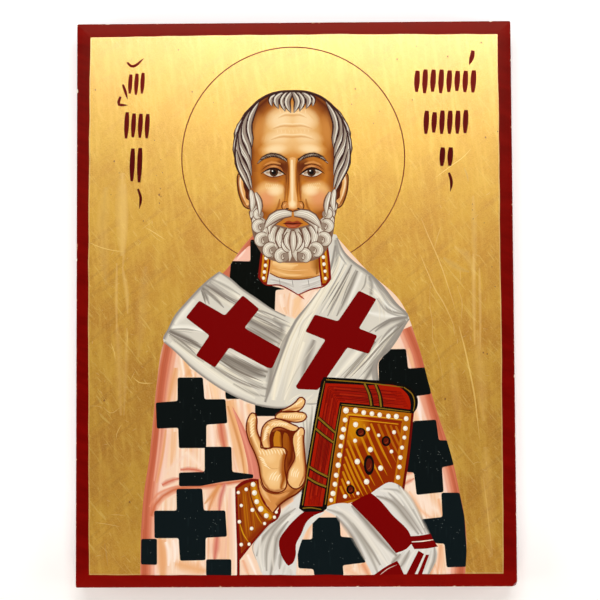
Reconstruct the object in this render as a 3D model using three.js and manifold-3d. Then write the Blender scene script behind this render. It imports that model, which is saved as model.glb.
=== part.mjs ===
// A painted icon panel: one thin wooden board that lies on its back with the picture facing up.
// The board is gessoed, gilded and painted, and all of that is surface, so the solid is the bare board:
// a rectangular slab with softened arrises, a bruised corner and the small nicks that its edges have collected.
// Millimetres. +X runs to the picture's right, +Y to its top and +Z out of the painted face.
// The origin is the middle of the back face, which the board lies on.
import * as THREE from "three";
import { mergeVertices } from "three/addons/utils/BufferGeometryUtils.js";
import Module from "manifold-3d";

const wasm = await Module();
wasm.setup();

const BOARD_WIDTH = 240;
const BOARD_HEIGHT = 310;
const BOARD_THICKNESS = 20;
const CORNER_RADIUS = 0.9; // seen from the front, at the four upright corners
const CORNER_SEGMENTS = 5;
const ARRIS_RADIUS = 0.7; // where the faces meet the sides
const ARRIS_SEGMENTS = 4;

// The lower right corner has been knocked: a flat facet leans over the front corner.
const BRUISE_REACH = 1.6; // how far from the corner the facet starts, along both edges
const BRUISE_DEPTH = 4; // how far it runs down from the painted face
const BRUISE_INSET = BRUISE_REACH / 4; // how far inside the corner the facet's upper edge is centred
const BRUISE_LENGTH = BRUISE_REACH * 4; // the wedge's own length, longer than the facet that it leaves

// Nicks on the front arris. at is the distance along the edge from its top or left end.
const NICK_SEGMENTS = 10;
const NICK_DROP = 1.5; // how far a nick runs down the side, as a share of its bite
const NICKS = [
  { side: "left", at: 37.5, length: 2.6, bite: 0.75 },
  { side: "left", at: 131, length: 1.8, bite: 0.5 },
  { side: "top", at: 229, length: 2.2, bite: 0.6 },
  { side: "top", at: 17, length: 3.4, bite: 0.45 },
  { side: "right", at: 22, length: 1.6, bite: 0.45 },
  { side: "right", at: 196, length: 2, bite: 0.5 },
  { side: "bottom", at: 153.5, length: 2, bite: 0.6 },
  { side: "bottom", at: 206, length: 2.4, bite: 0.5 },
];

// The end that each side's front edge starts at, and which way it runs.
const SIDES = {
  left: { start: [-BOARD_WIDTH / 2, BOARD_HEIGHT / 2], along: [0, -1] },
  right: { start: [BOARD_WIDTH / 2, BOARD_HEIGHT / 2], along: [0, -1] },
  top: { start: [-BOARD_WIDTH / 2, BOARD_HEIGHT / 2], along: [1, 0] },
  bottom: { start: [-BOARD_WIDTH / 2, -BOARD_HEIGHT / 2], along: [1, 0] },
};

// A closed geometry as a manifold-3d solid.
function solidOf(geometry) {
  const bare = new THREE.BufferGeometry();
  const source = geometry.index ? geometry.toNonIndexed() : geometry;
  bare.setAttribute("position", source.getAttribute("position"));
  const merged = mergeVertices(bare, 1e-4);
  return new wasm.Manifold(
    new wasm.Mesh({
      numProp: 3,
      vertProperties: new Float32Array(merged.attributes.position.array),
      triVerts: new Uint32Array(merged.index.array),
    }),
  );
}

// A manifold-3d solid as a flat-shaded geometry.
function geometryOf(solid) {
  const mesh = solid.getMesh();
  const geometry = new THREE.BufferGeometry();
  geometry.setAttribute("position", new THREE.BufferAttribute(mesh.vertProperties, 3));
  geometry.setIndex(new THREE.BufferAttribute(mesh.triVerts, 1));
  const flat = geometry.toNonIndexed();
  flat.computeVertexNormals();
  return flat;
}

function roundedRectangle(width, height, radius) {
  const x = width / 2;
  const y = height / 2;
  const outline = new THREE.Shape();
  outline.moveTo(-x + radius, -y);
  outline.lineTo(x - radius, -y);
  outline.absarc(x - radius, -y + radius, radius, -Math.PI / 2, 0);
  outline.lineTo(x, y - radius);
  outline.absarc(x - radius, y - radius, radius, 0, Math.PI / 2);
  outline.lineTo(-x + radius, y);
  outline.absarc(-x + radius, y - radius, radius, Math.PI / 2, Math.PI);
  outline.lineTo(-x, -y + radius);
  outline.absarc(-x + radius, -y + radius, radius, Math.PI, Math.PI * 1.5);
  return outline;
}

// The slab, with all its arrises rounded over.
function slab() {
  const geometry = new THREE.ExtrudeGeometry(
    roundedRectangle(BOARD_WIDTH, BOARD_HEIGHT, CORNER_RADIUS),
    {
      depth: BOARD_THICKNESS - 2 * ARRIS_RADIUS,
      curveSegments: CORNER_SEGMENTS,
      bevelEnabled: true,
      bevelThickness: ARRIS_RADIUS,
      bevelSize: ARRIS_RADIUS,
      bevelOffset: -ARRIS_RADIUS,
      bevelSegments: ARRIS_SEGMENTS,
    },
  );
  return solidOf(geometry.translate(0, 0, ARRIS_RADIUS));
}

// A wedge that takes the lower right front corner off along a leaning facet.
function bruise() {
  const facet = new THREE.Shape([
    new THREE.Vector2(-BRUISE_REACH, 0),
    new THREE.Vector2(0, -BRUISE_DEPTH),
    new THREE.Vector2(BRUISE_REACH, -BRUISE_DEPTH),
    new THREE.Vector2(BRUISE_REACH, BRUISE_REACH),
    new THREE.Vector2(-BRUISE_REACH, BRUISE_REACH),
  ]);
  const geometry = new THREE.ExtrudeGeometry(facet, { depth: BRUISE_LENGTH, bevelEnabled: false });
  geometry.translate(0, 0, -BRUISE_LENGTH / 2);
  geometry.rotateX(Math.PI / 2);
  geometry.rotateZ(-Math.PI / 4);
  geometry.translate(
    BOARD_WIDTH / 2 - BRUISE_INSET,
    -BOARD_HEIGHT / 2 + BRUISE_INSET,
    BOARD_THICKNESS,
  );
  return solidOf(geometry);
}

// A shallow scoop on the front arris, longer along the edge than it is deep.
function nick({ side, at, length, bite }) {
  const { start, along } = SIDES[side];
  const geometry = new THREE.SphereGeometry(1, NICK_SEGMENTS, NICK_SEGMENTS);
  const reach = along[0] ? [length / 2, bite] : [bite, length / 2];
  geometry.scale(reach[0], reach[1], bite * NICK_DROP);
  geometry.translate(start[0] + along[0] * at, start[1] + along[1] * at, BOARD_THICKNESS);
  return solidOf(geometry);
}

function board() {
  let solid = slab().subtract(bruise());
  for (const place of NICKS) {
    solid = solid.subtract(nick(place));
  }
  const paint = new THREE.MeshStandardMaterial({ color: 0x7a0c08, roughness: 0.55, metalness: 0 });
  const mesh = new THREE.Mesh(geometryOf(solid), paint);
  mesh.name = "painted_board";
  return mesh;
}

const iconPanel = new THREE.Group();
iconPanel.add(board());

export default iconPanel;
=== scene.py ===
"""A painted icon panel, lying face up: a wooden board with a gilded ground and a half-length figure."""

import math
import random

import bmesh
import bpy
import numpy as np
from mathutils import Euler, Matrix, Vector
from mathutils.geometry import delaunay_2d_cdt


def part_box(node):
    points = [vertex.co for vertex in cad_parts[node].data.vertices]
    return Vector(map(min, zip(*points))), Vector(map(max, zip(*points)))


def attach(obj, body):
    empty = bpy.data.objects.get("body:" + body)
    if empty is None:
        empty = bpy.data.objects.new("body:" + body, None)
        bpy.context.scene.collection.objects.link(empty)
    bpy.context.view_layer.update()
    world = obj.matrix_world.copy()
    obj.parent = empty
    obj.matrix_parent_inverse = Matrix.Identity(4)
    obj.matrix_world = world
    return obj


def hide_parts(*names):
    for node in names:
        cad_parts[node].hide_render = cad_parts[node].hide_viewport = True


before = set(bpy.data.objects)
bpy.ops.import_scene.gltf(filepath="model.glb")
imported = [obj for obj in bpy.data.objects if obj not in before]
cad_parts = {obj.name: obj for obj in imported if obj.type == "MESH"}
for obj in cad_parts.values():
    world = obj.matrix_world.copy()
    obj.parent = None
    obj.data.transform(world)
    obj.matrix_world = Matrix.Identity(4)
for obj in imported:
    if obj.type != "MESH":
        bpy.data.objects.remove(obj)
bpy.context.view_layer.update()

MM = 0.001
board_low, board_high = (Vector(corner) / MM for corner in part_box("painted_board"))
WIDTH, HEIGHT, THICKNESS = board_high - board_low
TOP = board_high.z

# The red border is masked by hand, so it is a little wider on one side than on the other.
FIELD_LEFT = -WIDTH / 2 + 7.4
FIELD_RIGHT = WIDTH / 2 - 7.3
FIELD_LOW = -HEIGHT / 2 + 7.0
FIELD_HIGH = HEIGHT / 2 - 7.6
STEP = 1.9  # how far apart the points of a drawn outline are


def place_camera():
    """Over the panel and a little off its middle."""
    lens = bpy.data.cameras.new("camera")
    lens.lens = 85
    lens.sensor_width = 36
    lens.clip_start = 0.05
    camera = bpy.data.objects.new("camera", lens)
    camera.location = (0.01237, -0.03642, 0.79569)
    camera.rotation_euler = Euler([math.radians(a) for a in (2.768, 0.712, -0.277)])
    bpy.context.scene.collection.objects.link(camera)
    bpy.context.scene.camera = camera


# Lines on the picture are arrays of complex numbers: millimetres to the right plus millimetres up as 1j.
def soft(points, closed=False, step=STEP):
    """A soft curve through the points. A point with a third value stays a sharp corner."""
    places = [complex(p[0], p[1]) for p in points]
    sharp = [len(p) > 2 for p in points]
    count = len(places)

    def heading(k, chord):
        if sharp[k] or (not closed and k in (0, count - 1)):
            return chord
        back = places[k] - places[k - 1]
        ahead = places[(k + 1) % count] - places[k]
        near, far = abs(back), abs(ahead)
        return (back / near * far + ahead / far * near) / (near + far)

    line = []
    for k in range(count if closed else count - 1):
        here, there = places[k], places[(k + 1) % count]
        length = abs(there - here)
        chord = (there - here) / length
        leave = heading(k, chord) * length
        arrive = heading((k + 1) % count, chord) * length
        pieces = max(1, min(12, round(length / step)))
        for i in range(pieces):
            t = i / pieces
            line.append(
                here * (2 * t**3 - 3 * t**2 + 1)
                + leave * (t**3 - 2 * t**2 + t)
                + there * (3 * t**2 - 2 * t**3)
                + arrive * (t**3 - t**2)
            )
    if not closed:
        line.append(places[-1])
    return np.array(line)


def points_along(line, spread):
    """The points of a line at the distances from its start that spread gives for its length."""
    run = np.concatenate([[0], np.cumsum(np.abs(np.diff(line)))])
    distances = spread(run[-1])
    return np.interp(distances, run, line.real) + 1j * np.interp(distances, run, line.imag)


def even(line, count):
    """The same line with its points evenly spaced."""
    return points_along(line, lambda length: np.linspace(0, length, count))


def part_of(line, start, end, count=12):
    """The stretch of a line between two shares of its length."""
    return points_along(line, lambda length: np.linspace(start, end, count) * length)


def across(line):
    """The direction to the left of a line at each of its points."""
    way = np.gradient(line)
    return 1j * way / np.maximum(np.abs(way), 1e-9)


def pressed(count, tip, tail):
    """How wide a brush mark is along its length: tip and tail are the shares of its width at its ends."""
    t = np.linspace(0, 1, count)
    rise = tip + (1 - tip) * np.sin(np.pi / 2 * np.minimum(1, t / 0.35))
    fall = tail + (1 - tail) * np.sin(np.pi / 2 * np.minimum(1, (1 - t) / 0.5))
    return rise * fall


def inside(outline, spots):
    """Which spots lie inside an outline, also where it crosses itself."""
    turns = np.zeros(len(spots), int)
    for a, b in zip(outline, np.roll(outline, -1)):
        if a.imag == b.imag:
            continue
        left = (b.real - a.real) * (spots.imag - a.imag) - (spots.real - a.real) * (b.imag - a.imag)
        turns += (a.imag <= spots.imag) & (b.imag > spots.imag) & (left > 0)
        turns -= (a.imag > spots.imag) & (b.imag <= spots.imag) & (left < 0)
    return turns != 0


def as_light(share):
    """A screen colour's shares of 0 to 1 as amounts of light."""
    return np.where(share <= 0.04045, share / 12.92, ((share + 0.055) / 1.055) ** 2.4)


def linear(colour):
    """A screen colour of 0 to 255 as amounts of light."""
    return as_light(np.array(colour) / 255)


def mix(a, b, share):
    """A colour that is the given share of the way from one to the other."""
    return tuple(x + (y - x) * share for x, y in zip(a, b))


# The picture was drawn a little large, and is laid on the board by these measures.
DRAWN_X, DRAWN_Y = 0.997, 0.9958
DRAWN_UP = 0.15
# The figure's outlines and brush marks run on to here, just under the edge of the red border.
FOOT, MARK_FOOT = -149.6, -149.4
MARK_POINTS = 5, 70  # the fewest and the most points along a crisp mark
HAZE_POINTS = 4, 11  # and along a soft one
GLOW_SIDES = 18
GRAIN = 7  # how far apart the loose points between the brush marks are
LOOSE = 0.8  # how far each of them is moved from its place


def on_board(spots):
    return spots.real * DRAWN_X + 1j * (spots.imag * DRAWN_Y + DRAWN_UP)


def on_picture(spots):
    return spots.real / DRAWN_X + 1j * (spots.imag - DRAWN_UP) / DRAWN_Y


class Painting:
    """Paint laid as flat outlines, later ones over earlier ones."""

    def __init__(self):
        self.coats = []
        self.guides = []
        self.within = None  # an outline laid before, that keeps what is laid next inside it

    def lay(self, outline, colour, cover=1.0, leaf=0.0):
        """Fills an outline. cover is a share, or gives one for each spot. leaf is 1 where bare gold shows."""
        self.coats.append((outline, colour, cover, leaf, self.within))

    def area(self, points, colour, cover=1.0, step=STEP):
        """Fills a soft outline through the points."""
        outline = soft(points, closed=True, step=step)
        self.lay(outline, colour, cover)
        return outline

    def block(self, points, colour):
        """An area with straight sides and brushed corners."""
        corners = [complex(*p) for p in points]
        outline = []
        for k, here in enumerate(corners):
            back = corners[k - 1] - here
            ahead = corners[(k + 1) % len(corners)] - here
            cut = min(1.0, abs(back) / 3, abs(ahead) / 3)
            a, b = here + back / abs(back) * cut, here + ahead / abs(ahead) * cut
            outline += [a, (a + b + 2 * here) / 4, b]
        self.lay(np.array(outline), colour)

    def mark(self, line, width, colour, cover=1.0, tip=0.35, tail=0.0, leaf=0.0):
        """A crisp brush mark along a line."""
        line = line if isinstance(line, np.ndarray) else soft(line)
        length = np.abs(np.diff(line)).sum()
        fewest, most = MARK_POINTS
        line = even(line, max(fewest, min(most, int(length / max(1.5, 1.5 * width)) + 4)))
        half = across(line) * pressed(len(line), tip, tail) * width / 2
        ends = slice(None) if tail > 0.05 else slice(0, -1)
        self.lay(np.concatenate([line + half, (line - half)[ends][::-1]]), colour, cover, leaf)

    def haze(self, line, width, colour, cover=1.0, tip=0.4, tail=0.1):
        """A soft mark, full along its line and gone at its edges."""
        line = line if isinstance(line, np.ndarray) else soft(line)
        length = np.abs(np.diff(line)).sum()
        fewest, most = HAZE_POINTS
        line = even(line, max(fewest, min(most, int(length / max(2.2, 1.3 * width)) + 2)))
        half = pressed(len(line), tip, tail) * width / 2
        side = across(line) * half
        widths = np.maximum(half, 0.02)

        def falling(spots):
            best = np.zeros(spots.shape)
            for a, b, wide_a, wide_b in zip(line, line[1:], widths, widths[1:]):
                step = b - a
                share = np.clip(((spots - a) * step.conjugate()).real / max(abs(step) ** 2, 1e-9), 0, 1)
                off = np.abs(spots - a - step * share)
                best = np.maximum(best, 1 - off / (wide_a + (wide_b - wide_a) * share))
            return cover * np.clip(best, 0, 1)

        self.guides.append(line)
        self.lay(np.concatenate([line + side, (line - side)[::-1]]), colour, falling)

    def glow(self, middle, reach, colour, cover=1.0, turn=0.0):
        """A soft round patch."""
        middle = complex(*middle)
        wide, high = reach
        lean = complex(math.cos(math.radians(turn)), math.sin(math.radians(turn)))
        ring = np.exp(2j * np.pi * np.arange(GLOW_SIDES) / GLOW_SIDES)
        ring = wide * ring.real + 1j * high * ring.imag
        for share in (0.35, 0.7):
            rim = middle + ring * share * lean
            self.guides.append(np.append(rim, rim[0]))

        def falling(spots):
            near = (spots - middle) / lean
            far = (near.real / wide) ** 2 + (near.imag / high) ** 2
            return cover * np.clip(1 - far, 0, 1)

        self.lay(middle + ring * lean, colour, falling)

    def dot(self, middle, radius, colour, cover=1.0, sides=9):
        """A round spot, or an oval one where the radius is a pair."""
        wide = radius if isinstance(radius, tuple) else (radius, radius)
        ring = np.exp(2j * np.pi * (np.arange(sides) + 0.5) / sides)
        self.lay(complex(*middle) + wide[0] * ring.real + 1j * wide[1] * ring.imag, colour, cover)

    def fan(self, one, other, count, width, colours, cover, loose=0.12, hazy=True):
        """Brush marks spread between two guide lines."""
        one = even(one if isinstance(one, np.ndarray) else soft(one), 24)
        other = even(other if isinstance(other, np.ndarray) else soft(other), 24)
        for k in range(count):
            share = (k + 0.5 + chance.uniform(-0.35, 0.35)) / count
            line = one + (other - one) * share
            start = chance.uniform(0, loose)
            end = 1 - chance.uniform(0, loose)
            stretch = part_of(line, start, max(end, start + 0.15))
            if chance.random() < 0.5:
                stretch = stretch[::-1]
            lay = self.haze if hazy else self.mark
            lay(stretch, width * chance.uniform(0.7, 1.3), chance.choice(colours),
                cover * chance.uniform(0.7, 1))

    def triangles(self, rim):
        """Cuts the front along every outline and mixes the colours at each triangle's corners."""
        places = list(rim)
        edges = [(k, (k + 1) % len(rim)) for k in range(len(rim))]
        lines = [(coat[0], True) for coat in self.coats]
        lines += [(guide, False) for guide in self.guides]
        for line, closed in lines:
            first = len(places)
            places.extend(on_board(line))
            edges += [(first + k, first + k + 1) for k in range(len(line) - 1)]
            if closed:
                edges.append((first + len(line) - 1, first))
        for y in np.arange(FIELD_LOW + GRAIN, FIELD_HIGH, GRAIN):
            for x in np.arange(FIELD_LEFT + GRAIN, FIELD_RIGHT, GRAIN):
                places.append(complex(x + chance.uniform(-LOOSE, LOOSE), y + chance.uniform(-LOOSE, LOOSE)))
        flat = [Vector((p.real, p.imag)) for p in places]
        spots, _, faces, *_ = delaunay_2d_cdt(flat, edges, [], 1, 1e-4, False)
        faces = np.array([face for face in faces if len(face) == 3])
        used, faces = np.unique(faces, return_inverse=True)
        faces = faces.reshape(-1, 3)
        spots = np.array([complex(*spots[k]) for k in used])
        corners = spots[faces]
        middles = corners.mean(axis=1)
        held = inside(rim, middles)
        faces, corners, middles = faces[held], corners[held], middles[held]
        order = np.argsort(middles.real)
        faces, middles = faces[order], middles[order]
        drawn, corners = on_picture(middles), on_picture(corners[order])

        paint = np.ones(corners.shape + (3,)) * np.array(LEAF) / 255
        bare = np.ones(corners.shape)
        for outline, colour, cover, leaf, within in self.coats:
            first, last = np.searchsorted(drawn.real, (outline.real.min(), outline.real.max()))
            near = np.arange(first, last)
            near = near[(drawn.imag[near] > outline.imag.min()) & (drawn.imag[near] < outline.imag.max())]
            hit = near[inside(outline, drawn[near])]
            if within is not None:
                hit = hit[inside(within, drawn[hit])]
            share = cover(corners[hit]) if callable(cover) else np.full(corners[hit].shape, cover)
            tint = np.array(colour) / 255
            paint[hit] += (tint - paint[hit]) * share[..., None]
            bare[hit] += (leaf - bare[hit]) * share
        return spots, faces, middles, paint, bare


chance = random.Random(11)
picture = Painting()
area, block, mark, haze = picture.area, picture.block, picture.mark, picture.haze
glow, dot, fan = picture.glow, picture.dot, picture.fan

# Colours of the paints, as mixed.
LEAF = (236, 202, 134)
RED = (117, 0, 0)
SALMON = (202, 108, 76)
PALE = (245, 212, 184)
TAN = (226, 158, 100)
INK = (5, 7, 3)
BOOK_BLACK = (12, 8, 6)
WOOL = (216, 210, 196)
WOOL_LIGHT = (248, 243, 228)
WOOL_GREY = (154, 146, 134)
WOOL_DARK = (116, 107, 97)
PEARL = (238, 228, 204)

SPREAD = 1.35  # a fold fades at its edges, so it is laid this much wider than it looks


def gilded_field():
    """The inner edge of the red border, a little unsteady as masked by hand."""
    corners = [
        complex(FIELD_LEFT, FIELD_LOW), complex(FIELD_RIGHT, FIELD_LOW), complex(FIELD_RIGHT, FIELD_HIGH),
        complex(FIELD_LEFT, FIELD_HIGH),
    ]
    bows = (0.4, 0.2, 0.8, 0.8)  # how far each side swells in its middle
    parts = 26  # how many pieces each side is drawn in
    line = []
    for here, there, bow in zip(corners, corners[1:] + corners[:1], bows):
        out = (there - here) / abs(there - here) * -1j
        for share in np.linspace(0, 1, parts, endpoint=False):
            swell = bow * math.sin(math.pi * share) + chance.uniform(-0.18, 0.18)
            line.append(here + (there - here) * share + out * swell)
    line = np.array(line)
    closed = on_picture(np.append(line, line[0]))
    picture.guides.append(closed)
    glint = closed * 0.9975  # the bare edge of the leaf, just inside the border
    for first in range(0, len(line), parts):
        mark(glint[first : first + parts + 1], 0.55, (236, 226, 190), 0.75, tip=0.7, tail=0.7, leaf=0.6)
    return line


def halo():
    """One drawn ring round the head, from shoulder to shoulder."""
    middle, radius = -0.5 + 80j, 61.6
    angles = np.radians(np.linspace(-61.5, 241, 150))
    mark(middle + radius * np.exp(1j * angles), 0.62, (112, 18, 10), tip=0.8, tail=0.8)


# What years of handling have done to the gold. Each line's points, width and cover.
SCRATCHES = [
    ([(-113, 33.3), (-107.7, 31), (-102.6, 29.5), (-92, 27.9)], 0.55, 0.85),
    ([(-81.9, 41.4), (-78.1, 39.2), (-74.3, 36.7), (-70.6, 34.4)], 0.6, 0.8),
    ([(-79.3, 38.6), (-75.6, 35.1), (-73, 33.5)], 0.4, 0.6),
    ([(-84.4, 40.6), (-81.6, 42.6), (-78.4, 44.6)], 0.4, 0.5),
    ([(69.9, 45.8), (73.3, 37), (77.1, 28.2), (81.5, 16.9), (84.3, 8), (87.2, -1.4), (89, -9)], 0.7, 0.7),
    ([(69.2, 25.7), (73.3, 15.6), (77.7, 5.5), (80.9, 0.5), (84, -5.8), (87.2, -13.4), (89, -20)], 0.7, 0.7),
    ([(80.9, 41.4), (78.3, 33.9), (77.1, 28.8)], 0.5, 0.55),
    ([(97.8, 84.3), (94.1, 80.2), (87.8, 75.5), (82.1, 71.4), (76.5, 67)], 0.55, 0.9),
    ([(74.6, 10.6), (74.3, -3.3), (75.5, -10.8), (75.6, -21.1), (79.2, -32), (81, -43.8), (81.9, -52)], 0.45,
     0.5),
    ([(90.9, 18.1), (91.3, 10)], 0.6, 0.5),
    ([(89.7, 6.7), (91.6, 1.1), (91.3, -11.5)], 0.6, 0.5),
    ([(90, -13.8), (92.8, -24.8), (95.5, -37.5), (98.2, -52.1), (99.6, -64.8), (100.9, -77.5)], 1.1, 0.7),
    ([(86.9, -13.8), (87.8, -19.3)], 0.6, 0.5),
    ([(102.3, -95.7), (104.1, -110.2), (105.5, -124.8), (107.3, -141.2)], 0.7, 0.5),
    ([(96.8, -89.3), (99.4, -88.2), (101.9, -88.4)], 0.4, 0.6),
    ([(-101.2, -22.2), (-99.4, -27), (-98.6, -32.4)], 0.6, 0.7),
    ([(-91.9, -15.7), (-92.3, -23.1)], 0.6, 0.6),
    ([(-88, -37.9), (-90.3, -42.6)], 0.45, 0.6),
    ([(-88.5, -41.6), (-85.7, -43.9), (-82, -44.4), (-77.4, -44.2)], 0.55, 0.85),
    ([(-112.5, -56.7), (-107.9, -56.9), (-105.5, -58.3)], 0.4, 0.55),
    ([(-105.1, -57.4), (-101.3, -60.7), (-95.8, -57.4)], 0.5, 0.65),
    ([(-95.3, -67.1), (-97.7, -71.3), (-98.4, -76)], 0.5, 0.65),
    ([(-101.3, -116.2), (-97, -116.2), (-93, -116.8)], 0.45, 0.6),
    ([(-109.7, -120.4), (-104.1, -121.1), (-94.8, -123)], 0.45, 0.65),
]
RUBBED = [
    ([(-95, 72), (-95.4, 50), (-95.2, 26)], 8.4, 0.5), ([(-93.6, 66), (-93.4, 44), (-94.6, 20)], 4.2, 0.35),
    ([(-98, 22), (-98.2, 4), (-98, -16)], 2.4, 0.45), ([(-95, 20), (-92.6, 6), (-92, -6)], 3.2, 0.5),
    ([(-98, -12), (-96.6, -36), (-95.6, -62)], 6.0, 0.3), ([(-92.4, -14), (-93, -38), (-94, -62)], 3.4, 0.3),
    ([(98.6, 58), (99, 34), (99, 14)], 4.0, 0.3), ([(98.4, 26), (98.4, 0), (98.6, -24)], 3.0, 0.5),
    ([(101.6, 18), (101.8, -4), (101.6, -26)], 2.2, 0.5), ([(100, -16), (101.6, -40), (103, -66)], 9.0, 0.25),
    ([(88, 30), (96, 24), (99, 12)], 6.0, 0.25), ([(104, -80), (105, -110), (106, -140)], 10.0, 0.22),
]
DULLED = [
    ([(82, 24), (90, 18), (96, 16)], 5.0, 0.4), ([(78, -60), (86, -90), (90, -130)], 6.0, 0.35),
    ([(93.8, 73.5), (95.3, 69.8), (96, 66)], 1.6, 0.6),
    ([(-104.5, -131.6), (-103.4, -138), (-102.7, -143.6)], 0.8, 0.5),
    ([(-104, 64), (-106, 40), (-104, 10)], 9.0, 0.3), ([(-82, 20), (-84, -4), (-86, -30)], 8.0, 0.25),
    ([(86, -34), (88, -52), (90, -70)], 6.0, 0.4),
]
# Where the red ground shows through: place and radius.
PINHOLES = [
    (-99.5, 78.5, 0.5), (-96.8, 72, 0.25), (-73.7, 79.2, 0.25), (-72.7, 72, 0.3), (-76.2, 70.4, 0.22),
    (-73.9, 63.1, 0.35), (-74.6, 59.7, 0.55), (-73.6, 58.8, 0.3), (-74.5, 55, 0.35), (-83.4, 45.2, 0.35),
    (-101.3, 59.9, 0.25), (-110, 118.5, 0.4), (-63.9, 140.6, 0.4), (-44.5, 127.6, 0.25),
    (-44.5, 110.9, 0.25), (-36.5, 146.2, 0.25), (-36.5, 132, 0.25), (-56.3, 117, 0.4), (-77.2, 90, 0.3),
    (57.4, 134.4, 0.45), (34.1, 118, 0.45), (85.4, 135.7, 0.45), (104, 143.3, 0.4), (68.2, 141.6, 0.3),
    (65.6, 111.6, 0.35), (47.3, 105.4, 0.3), (44, 98.7, 0.3), (105.8, 90.4, 0.45), (112.5, 93.7, 0.35),
    (32, 109.4, 0.35), (98.2, 53.4, 0.25), (98.2, 50.2, 0.25), (98.5, 45.2, 0.3), (104.5, 43, 0.25),
    (108.5, 18.7, 0.3), (110.1, 7.8, 0.3), (82.1, -53.7, 0.5), (103.2, -28.4, 0.4), (105.4, -29.2, 0.4),
    (-104.8, -53.7, 0.5), (-90.8, -109.3, 0.45),
]
# Where small marks gather: the left, right, low and high of each worn area, and how many marks it has.
WORN_AREAS = [(-112, -78, -145, 50), (72, 112, -100, 60)]
SMALL_MARKS = 45


def worn_gold():
    for points, width, cover in DULLED:
        haze(points, width, (150, 98, 30), cover, tip=0.4, tail=0.3)
    for points, width, cover in RUBBED:
        haze(points, width, (246, 208, 118), cover, tip=0.4, tail=0.3)
    for points, width, cover in SCRATCHES:
        mark(points, width * 0.75, (255, 226, 130), min(1, cover * 1.1), tip=0.3, leaf=0.3)
    for left, right, low, high in WORN_AREAS:
        for _ in range(SMALL_MARKS):
            spot = complex(chance.uniform(left, right), chance.uniform(low, high))
            reach = chance.uniform(0.8, 3.2) * np.exp(1j * chance.uniform(0, 2 * math.pi))
            bend = reach * 0.5 + 1j * reach * chance.uniform(-0.12, 0.12)
            mark(np.array([spot, spot + bend, spot + reach]), 0.3, (255, 232, 160),
                 chance.uniform(0.25, 0.6), leaf=0.3)
    for x, y, radius in PINHOLES:
        dot((x, y), (radius, radius * 1.3), (104, 40, 14), 0.85, sides=7)


# Rows of short tapered strokes in dark red beside the head. They are marks only and stand for no letters.
# Each row's left and right ends, its foot and top, and how many strokes it has.
STROKE_ROWS = [
    (-92.4, -82.2, 115, 128, 3), (-94.6, -79.4, 91, 106, 4), (-91.6, -83.4, 66, 86, 2),
    (66, 101.6, 115, 129, 8), (71, 97, 92, 106, 6), (79.6, 88.4, 74, 86, 2),
]
LONE_STROKES = [
    ([(-92.4, 133.8), (-90, 131.4), (-83, 136)], 1.5), ([(99.4, 139), (98.8, 135.4), (97.2, 131)], 2.6),
    ([(-94.8, 121.4), (-93.6, 118), (-92.2, 113)], 1.5), ([(-96, 114.6), (-97.4, 110.4), (-92, 109.8)], 1.7),
    ([(-86.4, 63), (-84.8, 58), (-85.6, 52)], 1.6),
    ([(85.4, 71), (86.8, 66), (86, 60.4)], 1.7),
]


def stroke_rows():
    def tone(height):
        return mix((78, 0, 0), (116, 20, 8), min(1, max(0, (height - 80) / 50)))

    for left, right, low, high, count in STROKE_ROWS:
        pitch = (right - left) / count
        for k in range(count):
            x = left + pitch * (k + 0.5)
            top = high - chance.uniform(0, 0.1) * (high - low)
            foot = low + chance.uniform(0, 0.1) * (high - low)
            points = [(x + 0.4, top), (x, (top + foot) / 2), (x - 0.3, foot)]
            mark(points, min(3.6, pitch * 0.7), tone(high), tip=0.7, tail=0.5)
    for points, width in LONE_STROKES:
        mark(points, width, tone(points[0][1]), tip=0.7, tail=0.1)


# The robe, in streaks of pink, peach and orange, with a salmon edge.
ROBE = [
    (-20, 40, 1), (-29, 30), (-36, 20), (-50, 6), (-66, -10), (-72, -22), (-76, -45), (-78, -65), (-80, -85),
    (-83, -105), (-84.5, -125), (-85, FOOT, 1), (92, FOOT, 1), (93, -135), (92, -118), (89, -102),
    (86.5, -90), (83, -77), (79, -65), (74.5, -50), (67, -22), (58, 0), (40, 17), (23, 36, 1),
]
# The marks between two guide lines, and how many there are.
ROBE_STREAKS = [
    ([(-70, -26), (-73, -60), (-76, -98)], [(-48, -40), (-50, -70), (-50, -97)], 20),
    ([(-52, -40), (-46, -70), (-40, -97)], [(-27, -53), (-25, -75), (-21, -97)], 18),
    ([(-78.5, -108), (-78.5, -130), (-78, MARK_FOOT)], [(-60, -102), (-62, -125), (-62, MARK_FOOT)], 11),
    ([(-63, -102), (-62, -125), (-62, MARK_FOOT)], [(-33.4, -103), (-32.8, -120), (-32.6, MARK_FOOT)], 18),
    ([(56, -12), (63, -60), (62, -98)], [(66, -28), (74, -60), (80, -98)], 14),
    ([(60, -100), (66, -125), (76, MARK_FOOT)], [(82, -100), (84, -125), (84, MARK_FOOT)], 14),
    ([(-11, 5), (-9, -3), (-5, -8)], [(14, 7), (8, -1), (1, -9)], 8),
    ([(8, -116), (2, -126), (0, MARK_FOOT)], [(34, -128), (40, -140), (42, MARK_FOOT)], 14),
]
ROBE_TONES = [(252, 228, 206), (247, 206, 166), (238, 182, 132), (242, 196, 168), (253, 237, 222)]
LEFT_SIDE = [(-71.8, -21), (-74, -32), (-77, -53), (-79.2, -77), (-82.4, -96), (-84, -110), (-84.8, -128),
             (-85, FOOT)]
RIGHT_SIDE = [(64, -13.6), (67.6, -22), (71.4, -33), (75, -48), (79, -60), (83, -74), (88, -91),
              (91.4, -107), (93, -128), (92, FOOT)]
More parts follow.
